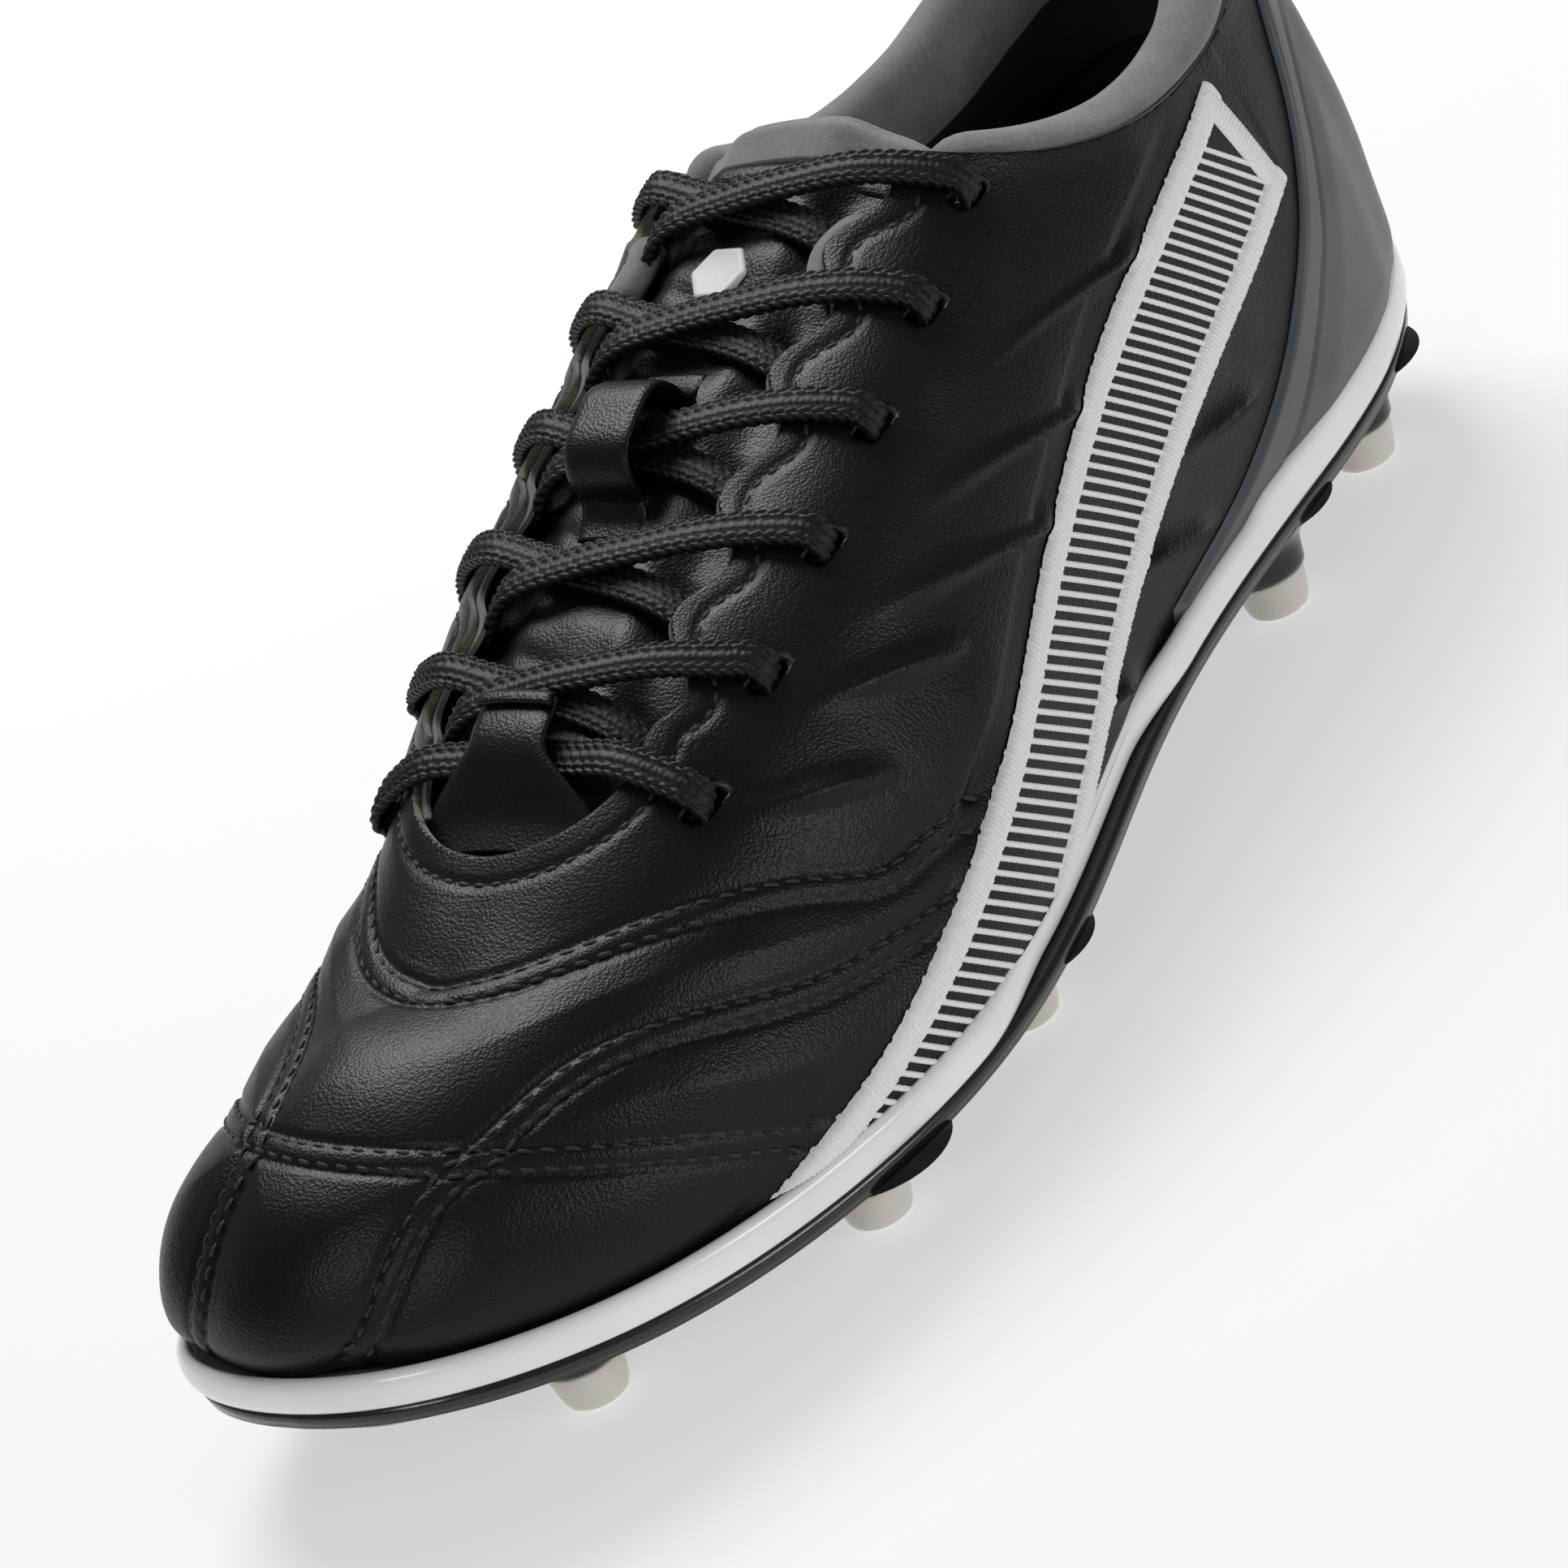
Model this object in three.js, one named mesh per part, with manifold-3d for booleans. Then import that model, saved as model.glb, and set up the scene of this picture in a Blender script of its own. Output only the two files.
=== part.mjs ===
// A laced soccer cleat for the left foot, in millimetres.
// +Z is up, -Y is the toe, +X is the outer (lateral) side. The stud tips stand on z = 0.
// "s" is the distance from the toe along the boot, so y = s - LENGTH / 2.
// "up" and "depth" are distances outside and inside the outer face of the leather.
import * as THREE from 'three';
import { mergeVertices } from 'three/addons/utils/BufferGeometryUtils.js';
import Module from 'manifold-3d';

// ---------------------------------------------------------------- driving dimensions
const LENGTH = 284;          // length of the sole line
const CENTRE_X = -5.5;       // moves the model so that its box is centred on the origin
const TOE_FAN = 48;          // s where the ribs of the toe meet
const HEEL_FAN = 246;        // s where the ribs of the heel meet
const FAN_BLEND = 14;        // how softly ribs turn into the two fans
const RIB_CROWDING = 0.5;    // 0 spaces the ribs evenly, towards 1 crowds them at the ends

// sole line seen from above, (x, s): outer side toe to heel, then inner side back to the toe
const SOLE_LINE = [
  [-6, 0], [14, 5], [30, 20], [42, 42], [50, 68], [53, 95], [50, 125], [44.5, 155], [41, 185],
  [38, 215], [35, 240], [29, 264], [18, 279], [0, LENGTH],
  [-16, 279], [-27, 265], [-30.5, 242], [-29.5, 220], [-27.5, 190], [-29, 160], [-34.5, 135],
  [-41, 105], [-42, 75], [-39, 48], [-35, 25], [-25, 6],
];
// heights along the boot, (s, z)
const BITE_HEIGHT = [
  [0, 27], [25, 22], [60, 19], [95, 19], [130, 21.5], [170, 26], [210, 26], [250, 25], [284, 29],
];
const RIDGE_HEIGHT = [
  [0, 50], [30, 52], [50, 57], [80, 69.5], [100, 76.5], [120, 82.5], [140, 89], [160, 95.5], [180, 103],
  [200, 111], [220, 117], [250, 121], [284, 122],
];
// sideways place of the ridge, (s, x)
const RIDGE_SIDE = [
  [0, 6], [40, 5], [70, 4], [90, 1.5], [110, -1], [130, -3], [150, -4], [185, -4], [205, -2], [240, 1.5],
  [284, 0],
];
// fullness of the outer and inner ribs, (s, bulge low, bulge middle, shoulder width, crown width)
const RIB_OUTER = [
  [0, 0.06, 0.02, 0.8, 0.45], [50, 0.06, 0.03, 0.8, 0.45], [80, 0.05, 0.01, 0.66, 0.58],
  [102, 0.05, 0, 0.71, 0.7], [123, 0.05, 0, 0.83, 0.82], [143, 0.05, 0, 0.86, 0.86],
  [164, 0.05, 0, 0.88, 0.87], [185, 0.05, 0, 0.83, 0.81], [205, 0.05, 0.02, 0.85, 0.74],
  [240, 0.06, 0.05, 0.92, 0.6], [284, 0.06, 0.05, 0.92, 0.6],
];
const RIB_INNER = [
  [0, 0.06, 0.02, 0.8, 0.45], [50, 0.06, 0.03, 0.8, 0.45], [80, 0.06, 0.05, 0.6, 0.56],
  [102, 0.05, 0.06, 0.75, 0.73], [123, 0.05, 0.06, 0.94, 0.92], [143, 0.05, 0.06, 1.15, 1.15],
  [164, 0.05, 0.06, 1.4, 1.4], [185, 0.05, 0.06, 1.36, 1.32], [205, 0.05, 0.06, 1.08, 0.95],
  [240, 0.06, 0.05, 0.92, 0.6], [284, 0.06, 0.05, 0.92, 0.6],
];
// top edge of the collar seen from the side, (s, z)
const TOPLINE = [
  [176, 110], [182, 104], [190, 97.5], [201, 91], [218, 85], [235, 83], [250, 84], [266, 89], [290, 97],
];
// top edge of the heel counter, (s, distance up the rib)
const COUNTER_EDGE = [
  [172, 2.6], [190, 4], [209, 8], [223, 14], [240, 26], [251, 38], [262, 53], [270, 58], [290, 58],
];
// distance of the eyelets from the ridge along the leather, (s, arc)
const EYELET_ARC = [[81, 31.5], [102, 35], [123, 36.8], [143, 36.8], [164, 36.8], [185, 35]];

const LEATHER = 1.4;         // thickness of the upper
const GAP = 0.3;             // clearance between touching pieces
const LINING_DEPTH = 3.5;    // outer face of the lining under the leather's outer face
const LINING = 0.9;
const LINING_REACH = 45;     // arc from the ridge where the lining starts beside the throat
const BACKER_DEPTH = 2.1;    // outer face of the strips under the eyelets
const BACKER_ARCS = [26.5, 42.5];
const STIFF_DEPTH = 2.2;     // outer face of the toe puff and heel stiffener
const STIFF_THICK = 0.6;
const COUNTER_DROP = 3;      // top of the heel counter below the topline
const COLLAR_DROP = 24;      // height of the padded collar below the topline
const COLLAR_RINGS = 36;
const COLLAR_FRONT = 192;    // s where the padded collar starts, behind the top eyelets

const THROAT_TOE = 67;       // s of the front end of the throat
const THROAT_HALF = 21.5;    // half width of the throat seen from above
const SCALLOP = 2.8;         // depth of the waves along the throat edge
const SCALLOP_LEAD = 3;      // how far behind each eyelet a wave is narrowest
const THROAT_END = 200;      // s where the throat has run out into the collar
const EYELETS = 6;
const EYELET_S = 81;         // s of the first pair of eyelets
const EYELET_PITCH = 20.8;
const SLOT_LONG = 8.4;
const SLOT_WIDE = 5;

const STRAP_THICK = 1.2;
const BADGE_S = 164.2;       // s of the middle of the hexagon
const BADGE_RADIUS = 5;
const TONGUE_ROOT = 62;      // s of the tongue's two ends
const TONGUE_END = 176;
const BINDING = [176.5, 184]; // s of the two ends of the tongue's padded top

const LACE_WIDE = 5.2;
const LACE_THICK = 1.8;
const LACE_OVER = 1.35;      // lace centre above the leather
const LACE_UNDER = -3.75;    // lace centre under the eyestay
const LACE_BELOW = -0.9;     // lace centre where it passes below another crossing

// straight slanted band on each side
const BAND_FROM = 70;        // s of its lower end, hidden by the sole rim
const BAND_TO = 240;         // s of its upper end
const BAND_TOE = 86;         // s where its middle line meets the sole
const BAND_RISE = 0.292;     // climb of its middle line
const BAND_HALF = 11.5;      // half width
const BAND_THICK = 0.6;

const RIM_HEIGHT = 5.6;
const PLATE_THICK = 2.6;
const TIP_HEIGHT = 6.5;
const TIP_RADIUS = 6;
// stud name, x, s
const STUDS = [
  ['forefoot_lateral_1', 16.5, 32], ['forefoot_lateral_2', 40, 72], ['forefoot_lateral_3', 38.5, 116],
  ['forefoot_medial_1', -19, 36], ['forefoot_medial_2', -30, 78], ['forefoot_medial_3', -24, 120],
  ['forefoot_centre', 6, 94],
  ['heel_lateral_1', 25, 217], ['heel_lateral_2', 19, 257],
  ['heel_medial_1', -17.5, 217], ['heel_medial_2', -14, 257],
];

const COLOURS = {
  leather: 0x17171a, suede: 0x5d5a5a, white: 0xf2f2f0, plate: 0x121214, tip: 0xd9d6c8,
  counter: 0x4a5056, lining: 0x202022, board: 0x8d8674, liner: 0x2a2a2d, lace: 0x141415, badge: 0xf0f0ee,
};

// ---------------------------------------------------------------- curves
// Cubic spline through rows [u, a, b, ...]; closed curves repeat their first row at the end.
class Spline {
  constructor(rows, closed = false) {
    this.u = rows.map((row) => row[0]);
    this.columns = rows[0].slice(1).map((_, k) => rows.map((row) => row[k + 1]));
    this.bends = this.columns.map((values) => this.solve(values, closed));
  }

  solve(values, closed) {
    const n = this.u.length;
    const matrix = Array.from({ length: n }, () => new Array(n + 1).fill(0));
    for (let i = 1; i < n - 1; i += 1) {
      const left = this.u[i] - this.u[i - 1];
      this.bendRow(matrix[i], values, n, [i - 1, i, i + 1], left, this.u[i + 1] - this.u[i]);
    }
    if (closed) {
      const before = this.u[n - 1] - this.u[n - 2];
      this.bendRow(matrix[0], values, n, [n - 2, 0, 1], before, this.u[1] - this.u[0]);
      matrix[n - 1][0] = 1;
      matrix[n - 1][n - 1] = -1;
    } else {
      matrix[0][0] = 1;
      matrix[n - 1][n - 1] = 1;
    }
    return eliminate(matrix);
  }

  bendRow(row, values, n, [a, b, c], left, right) {
    row[a] += left;
    row[b] += 2 * (left + right);
    row[c] += right;
    row[n] = 6 * ((values[c] - values[b]) / right - (values[b] - values[a]) / left);
  }

  at(u) {
    const last = this.u.length - 2;
    let i = 0;
    while (i < last && u > this.u[i + 1]) i += 1;
    const step = this.u[i + 1] - this.u[i];
    const a = (this.u[i + 1] - u) / step;
    const b = 1 - a;
    return this.columns.map((values, k) => {
      const bend = this.bends[k];
      const cubic = (a ** 3 - a) * bend[i] + (b ** 3 - b) * bend[i + 1];
      return a * values[i] + b * values[i + 1] + (cubic * step * step) / 6;
    });
  }
}

function eliminate(matrix) {
  const n = matrix.length;
  for (let i = 0; i < n; i += 1) {
    let pivot = i;
    for (let r = i + 1; r < n; r += 1) {
      if (Math.abs(matrix[r][i]) > Math.abs(matrix[pivot][i])) pivot = r;
    }
    [matrix[i], matrix[pivot]] = [matrix[pivot], matrix[i]];
    for (let r = 0; r < n; r += 1) {
      if (r === i) continue;
      const factor = matrix[r][i] / matrix[i][i];
      for (let c = i; c <= n; c += 1) matrix[r][c] -= factor * matrix[i][c];
    }
  }
  return matrix.map((row, i) => row[n] / row[i]);
}

function soleLineRows() {
  const points = [...SOLE_LINE, SOLE_LINE[0]];
  let run = 0;
  return points.map(([x, s], i) => {
    if (i > 0) run += Math.hypot(x - points[i - 1][0], s - points[i - 1][1]);
    return [run, x, s];
  });
}

const outlineRows = soleLineRows();
const PERIMETER = outlineRows.at(-1)[0];
const outline = new Spline(outlineRows, true);
const biteHeight = new Spline(BITE_HEIGHT);
const ridgeHeight = new Spline(RIDGE_HEIGHT);
const ridgeSide = new Spline(RIDGE_SIDE);
const ribOuter = new Spline(RIB_OUTER);
const ribInner = new Spline(RIB_INNER);
const topline = new Spline(TOPLINE);
const counterEdge = new Spline(COUNTER_EDGE);
const eyeletArc = new Spline(EYELET_ARC);

const lerp = THREE.MathUtils.lerp;
const smoothstep = THREE.MathUtils.smoothstep;
const soft = (x) => FAN_BLEND * Math.log1p(Math.exp(x / FAN_BLEND));
const point = (x, s, z) => new THREE.Vector3(x, s - LENGTH / 2, z);
const stationOf = (p) => p.y + LENGTH / 2;
const biteAt = (s) => biteHeight.at(s)[0];
const wrapT = (t) => ((t % PERIMETER) + PERIMETER) % PERIMETER;
const outlineAt = (t) => outline.at(wrapT(t));

// t near a corner of the sole line where s is least (way -1) or greatest (way 1)
function turningT(corner, way) {
  let best = corner;
  for (let i = -200; i <= 200; i += 1) {
    const t = corner + i * 0.05;
    if (way * outlineAt(t)[1] > way * outlineAt(best)[1]) best = t;
  }
  return best;
}

const TOE_T = turningT(0, -1);
const HEEL_T = turningT(outlineRows[SOLE_LINE.findIndex(([, s]) => s === LENGTH)][0], 1);

// s on the ridge where the rib from station s ends
function ridgeStation(s) {
  const inside = Math.min(Math.max(s, 20), 268);
  const toe = TOE_FAN + soft(inside - TOE_FAN);
  return HEEL_FAN - soft(HEEL_FAN - toe);
}

// Point of the leather's outer face: t runs round the sole line, h from the sole (0) to the ridge (1).
function lastPoint(t, h) {
  const [fx, fs] = outlineAt(t);
  const ribShape = wrapT(t - TOE_T) < HEEL_T - TOE_T ? ribOuter : ribInner;
  const sa = ridgeStation(fs);
  const xa = ridgeSide.at(sa)[0];
  const low = biteAt(fs);
  const high = ridgeHeight.at(sa)[0];
  const [bulge, middle, shoulder, crown] = ribShape.at(fs);
  const reach = [1, 1 + bulge, 1 + middle, shoulder, crown, 0];
  const rise = [0, 0.18, 0.5, 0.86, 1, 1];
  const binomial = [1, 5, 10, 10, 5, 1];
  let rho = 0;
  let z = 0;
  for (let i = 0; i < 6; i += 1) {
    const weight = binomial[i] * h ** i * (1 - h) ** (5 - i);
    rho += weight * reach[i];
    z += weight * lerp(low, high, rise[i]);
  }
  return point(xa + rho * (fx - xa), sa + rho * (fs - sa), z);
}

function lastNormal(t, h) {
  if (h > 0.97) {
    const sa = ridgeStation(outlineAt(t)[1]);
    const slope = (ridgeHeight.at(sa + 1)[0] - ridgeHeight.at(sa - 1)[0]) / 2;
    const crest = new THREE.Vector3(0, -slope, 1).normalize();
    return crest.lerp(lastNormal(t, 0.97), (1 - h) / 0.03).normalize();
  }
  const along = lastPoint(t + 0.5, h).sub(lastPoint(t - 0.5, h));
  const climb = lastPoint(t, h + 0.01).sub(lastPoint(t, Math.max(h - 0.01, 0)));
  return along.cross(climb).normalize();
}

const lastOffset = (t, h, up) => lastPoint(t, h).addScaledVector(lastNormal(t, h), up);

// t of a station on the outer (side 1) or inner (side -1) half of the sole line
function outlineT(s, side) {
  let toe = side > 0 ? TOE_T : PERIMETER + TOE_T;
  let heel = HEEL_T;
  for (let i = 0; i < 40; i += 1) {
    const mid = (toe + heel) / 2;
    if (outlineAt(mid)[1] < s) toe = mid;
    else heel = mid;
  }
  return (toe + heel) / 2;
}

// h on the rib at t where test(point) is first true, going up from the sole
function heightWhere(t, test) {
  let low = 0;
  while (low < 1 && !test(lastPoint(t, low))) low += 0.05;
  let high = low;
  low -= 0.05;
  for (let i = 0; i < 20; i += 1) {
    const mid = (low + high) / 2;
    if (test(lastPoint(t, mid))) high = mid;
    else low = mid;
  }
  return high;
}

const atTopline = (p) => p.z >= topline.at(Math.max(stationOf(p), TOPLINE[0][0]))[0];

// h at a distance measured up the rib from the sole (from = 0) or down it from the ridge (from = 1)
function heightAtArc(t, distance, from) {
  const steps = 60;
  let run = 0;
  let before = lastPoint(t, from);
  for (let i = 1; i <= steps; i += 1) {
    const h = Math.abs(from - i / steps);
    const here = lastPoint(t, h);
    const length = here.distanceTo(before);
    if (run + length >= distance) return Math.abs(from - (i - 1 + (distance - run) / length) / steps);
    run += length;
    before = here;
  }
  return 1 - from;
}

// Point over the instep: station s, signed distance from the ridge (outer side positive), height.
function instep(s, arc, up = 0) {
  const side = arc < 0 ? -1 : 1;
  const t = outlineT(s, side);
  return lastOffset(t, heightAtArc(t, Math.abs(arc), 1), up);
}

// ---------------------------------------------------------------- solids
function solidGeometry(vertices, triangles) {
  const positions = new Float32Array(vertices.flatMap((v) => [v.x, v.y, v.z]));
  let volume = 0;
  for (const [a, b, c] of triangles) volume += vertices[a].dot(vertices[b].clone().cross(vertices[c]));
  const faces = volume > 0 ? triangles : triangles.map(([a, b, c]) => [a, c, b]);
  const geometry = new THREE.BufferGeometry();
  geometry.setAttribute('position', new THREE.BufferAttribute(positions, 3));
  geometry.setIndex(faces.flat());
  geometry.computeVertexNormals();
  return geometry;
}

// Solid between two equal grids of points, grid[i][j].
function slabGeometry(outer, inner) {
  const rows = outer.length;
  const columns = outer[0].length;
  const vertices = [...outer.flat(), ...inner.flat()];
  const triangles = [];
  const quad = (a, b, c, d) => triangles.push([a, b, c], [a, c, d]);
  const top = (i, j) => i * columns + j;
  const under = (i, j) => rows * columns + i * columns + j;
  for (let i = 0; i < rows - 1; i += 1) {
    for (let j = 0; j < columns - 1; j += 1) {
      quad(top(i, j), top(i + 1, j), top(i + 1, j + 1), top(i, j + 1));
      quad(under(i, j), under(i, j + 1), under(i + 1, j + 1), under(i + 1, j));
    }
    quad(top(i + 1, 0), top(i, 0), under(i, 0), under(i + 1, 0));
    quad(top(i, columns - 1), top(i + 1, columns - 1), under(i + 1, columns - 1), under(i, columns - 1));
  }
  for (let j = 0; j < columns - 1; j += 1) {
    quad(top(0, j), top(0, j + 1), under(0, j + 1), under(0, j));
    quad(top(rows - 1, j + 1), top(rows - 1, j), under(rows - 1, j), under(rows - 1, j + 1));
  }
  return solidGeometry(vertices, triangles);
}

// Solid through equal rings of points; flat gives the ring's 2-D shape for the two end caps.
function ringGeometry(rings, flat, closed) {
  const count = rings[0].length;
  const vertices = rings.flat();
  const triangles = [];
  const spans = closed ? rings.length : rings.length - 1;
  for (let i = 0; i < spans; i += 1) {
    const next = (i + 1) % rings.length;
    for (let j = 0; j < count; j += 1) {
      const k = (j + 1) % count;
      triangles.push([i * count + j, next * count + j, next * count + k]);
      triangles.push([i * count + j, next * count + k, i * count + k]);
    }
  }
  if (!closed) {
    const end = (rings.length - 1) * count;
    for (const [a, b, c] of THREE.ShapeUtils.triangulateShape(flat, [])) {
      triangles.push([a, c, b], [end + a, end + b, end + c]);
    }
    fixCapWinding(triangles, count, rings.length);
  }
  return solidGeometry(vertices, triangles);
}

// The caps must run against the first and last edges of the ring's sides.
function fixCapWinding(triangles, count, ringCount) {
  const sides = 2 * count * (ringCount - 1);
  const edges = new Set();
  for (let i = 0; i < sides; i += 1) {
    const [a, b, c] = triangles[i];
    edges.add(`${a},${b}`).add(`${b},${c}`).add(`${c},${a}`);
  }
  const sameWay = ([a, b, c]) => [`${a},${b}`, `${b},${c}`, `${c},${a}`].some((edge) => edges.has(edge));
  if (!triangles.slice(sides).some(sameWay)) return;
  for (let i = sides; i < triangles.length; i += 1) triangles[i].reverse();
}

const wasm = await Module();
wasm.setup();

function toManifold(geometry) {
  const bare = geometry.clone();
  bare.deleteAttribute('normal');
  bare.deleteAttribute('uv');
  const merged = mergeVertices(bare, 1e-5);
  const mesh = new wasm.Mesh({
    numProp: 3,
    vertProperties: new Float32Array(merged.attributes.position.array),
    triVerts: new Uint32Array(merged.index.array),
  });
  return new wasm.Manifold(mesh);
}

function fromManifold(solid) {
  const mesh = solid.getMesh();
  const geometry = new THREE.BufferGeometry();
  geometry.setAttribute('position', new THREE.BufferAttribute(new Float32Array(mesh.vertProperties), 3));
  geometry.setIndex([...mesh.triVerts]);
  geometry.computeVertexNormals();
  return geometry;
}

// Stations for the upper's ribs along the outer sole line, closest together at the toe and heel.
function stations(count) {
  return Array.from({ length: count + 1 }, (_, i) => {
    const u = i / count - (RIB_CROWDING * Math.sin((2 * Math.PI * i) / count)) / (2 * Math.PI);
    return outlineAt(lerp(TOE_T, HEEL_T, u))[1];
  });
}

// The whole last as one thin cap, open only at the sole.
function capShell(ribs, levels, outerUp, innerUp) {
  const vertices = [];
  const triangles = [];
  const list = stations(ribs);
  const keys = new Map();
  const vertex = (side, i, j, up) => {
    const shared = i === 0 || i === ribs ? 1 : side;
    const half = j === levels ? 1 : shared;
    const place = lastOffset(outlineT(list[i], half), j / levels, up);
    const key = j === levels ? `${place.y.toFixed(2)},${up}` : `${half},${i},${j},${up}`;
    if (!keys.has(key)) {
      keys.set(key, vertices.length);
      vertices.push(place);
    }
    return keys.get(key);
  };
  const face = (a, b, c) => {
    if (a !== b && b !== c && a !== c) triangles.push([a, b, c]);
  };
  const quad = (side, corners, flip) => {
    const ring = corners.map(([i, j, up]) => vertex(side, i, j, up));
    const [a, b, c, d] = flip ? ring.reverse() : ring;
    face(a, b, c);
    face(a, c, d);
  };
  for (const side of [1, -1]) {
    for (let i = 0; i < ribs; i += 1) {
      for (let j = 0; j < levels; j += 1) {
        for (const up of [outerUp, innerUp]) {
          const corners = [[i, j, up], [i + 1, j, up], [i + 1, j + 1, up], [i, j + 1, up]];
          quad(side, corners, (side > 0) !== (up === outerUp));
        }
      }
      quad(side, [[i, 0, outerUp], [i, 0, innerUp], [i + 1, 0, innerUp], [i + 1, 0, outerUp]], side < 0);
    }
  }
  return solidGeometry(vertices, triangles);
}

// Patch of a layer over t in [from, to] between two heights on each rib.
function patchGeometry(from, to, columns, lowHeight, highHeight, rows, outerUp, innerUp) {
  const grid = (up) => Array.from({ length: columns + 1 }, (_, i) => {
    const t = lerp(from, to, i / columns);
    const height = (j) => lerp(lowHeight(t), highHeight(t), j / rows);
    return Array.from({ length: rows + 1 }, (__, j) => lastOffset(t, height(j), up));
  });
  return slabGeometry(grid(outerUp), grid(innerUp));
}

// ---------------------------------------------------------------- cutters
function prism(shape, depth) {
  return new THREE.ExtrudeGeometry(shape, { depth, bevelEnabled: false, steps: 1, curveSegments: 8 });
}

// Everything above the collar's top edge, lowered by drop.
function collarCutter(drop) {
  const shape = new THREE.Shape();
  const first = TOPLINE[0][0];
  const last = TOPLINE.at(-1)[0];
  shape.moveTo(first - LENGTH / 2, 140);
  for (let i = 0; i <= 16; i += 1) {
    const s = lerp(first, last, i / 16);
    shape.lineTo(s - LENGTH / 2, topline.at(s)[0] - drop);
  }
  shape.lineTo(last - LENGTH / 2 + 20, 140);
  const geometry = prism(shape, 160);
  geometry.rotateX(Math.PI / 2);
  geometry.rotateZ(Math.PI / 2);
  return geometry.translate(-80, 0, 0);
}

function throatHalf(s) {
  const phase = (2 * Math.PI * (s - EYELET_S - SCALLOP_LEAD)) / EYELET_PITCH;
  return THROAT_HALF - SCALLOP * Math.cos(phase);
}

// The throat seen from above: round in front, waved along both edges.
function throatCutter() {
  const shape = new THREE.Shape();
  const round = THROAT_TOE + THROAT_HALF;
  const outerEdge = [];
  for (let i = 0; i <= 28; i += 1) {
    const s = lerp(round, THROAT_END, i / 28);
    outerEdge.push([s, throatHalf(s)]);
  }
  const nose = [];
  for (let i = 1; i < 8; i += 1) {
    const angle = (Math.PI * i) / 8;
    nose.push([round - THROAT_HALF * Math.sin(angle), throatHalf(round) * Math.cos(angle)]);
  }
  const place = ([s, half]) => [ridgeSide.at(s)[0] + half, s - LENGTH / 2];
  const mirrored = outerEdge.map(([s, half]) => [s, -half]);
  const loop = [...outerEdge.reverse(), ...nose, ...mirrored].map(place);
  loop.forEach(([x, y], i) => (i === 0 ? shape.moveTo(x, y) : shape.lineTo(x, y)));
  return prism(shape, 120).translate(0, 0, 40);
}

const eyeletStation = (row) => EYELET_S + EYELET_PITCH * row;

function slotCutter(row, side) {
  const s = eyeletStation(row);
  const arc = eyeletArc.at(s)[0];
  const middle = instep(s, side * arc);
  const along = instep(s + 2, side * arc).sub(instep(s - 2, side * arc)).normalize();
  const across = instep(s, side * (arc + 2)).sub(instep(s, side * (arc - 2))).normalize();
  const normal = across.clone().cross(along).normalize();
  const geometry = new THREE.BoxGeometry(SLOT_WIDE, SLOT_LONG, 14);
  geometry.applyMatrix4(new THREE.Matrix4().makeBasis(across, along, normal));
  return geometry.translate(middle.x, middle.y, middle.z);
}

// Everything within a distance of the ridge, from just outside the leather to below the lining.
function ridgeCutter(reach, from) {
  const grid = (up) => Array.from({ length: 17 }, (_, i) => {
    const s = lerp(from, THROAT_END + 12, i / 16);
    return Array.from({ length: 17 }, (__, j) => instep(s, lerp(-reach, reach, j / 16), up));
  });
  return slabGeometry(grid(1), grid(-8));
}

// ---------------------------------------------------------------- pieces
function cutAll(geometry, cutters) {
  let solid = toManifold(geometry);
  for (const cutter of cutters) solid = solid.subtract(toManifold(cutter));
  return fromManifold(solid);
}

function eyeletCutters() {
  const cutters = [];
  for (let row = 0; row < EYELETS; row += 1) {
    for (const side of [1, -1]) cutters.push(slotCutter(row, side));
  }
  return cutters;
}

function upperGeometry() {
  const cutters = [collarCutter(0), throatCutter(), ...eyeletCutters()];
  return cutAll(capShell(26, 10, 0, -LEATHER), cutters);
}

function liningGeometry() {
  const wall = capShell(24, 8, -LINING_DEPTH, -LINING_DEPTH - LINING);
  return cutAll(wall, [collarCutter(COLLAR_DROP + 2), ridgeCutter(LINING_REACH, THROAT_TOE - 8)]);
}

// Strip under the eyelets on one side, with the same slots.
function eyestayGeometry(side) {
  const grid = (up) => Array.from({ length: 13 }, (_, i) => {
    const s = lerp(EYELET_S - 8, 189.5, i / 12);
    return Array.from({ length: 4 }, (__, j) => instep(s, side * lerp(...BACKER_ARCS, j / 3), up));
  });
  const strip = slabGeometry(grid(-BACKER_DEPTH), grid(-BACKER_DEPTH - 0.5));
  const cutters = [];
  for (let row = 0; row < EYELETS; row += 1) cutters.push(slotCutter(row, side));
  return cutAll(strip, cutters);
}

// Closed ring round the sole: a section of [outward, z above the bite line] pairs.
function soleRing(section, count) {
  return Array.from({ length: count }, (_, i) => {
    return section.map(([out, z]) => beside((PERIMETER * i) / count, out, z));
  });
}

function rimGeometry() {
  const section = [
    [1.1, 0.9], [1.9, 0.6], [2.3, -2], [1.7, -RIM_HEIGHT], [-6, -RIM_HEIGHT], [-6, -0.6], [1.0, -0.6],
  ];
  return ringGeometry(soleRing(section, 64), null, true);
}

// Point at a distance outside the sole line.
function beside(t, out, z) {
  const [x, s] = outlineAt(t);
  const [x1, s1] = outlineAt(t + 0.5);
  const [x0, s0] = outlineAt(t - 0.5);
  const run = Math.hypot(x1 - x0, s1 - s0);
  return point(x + (out * (s1 - s0)) / run, s - (out * (x1 - x0)) / run, biteAt(s) + z);
}

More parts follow.
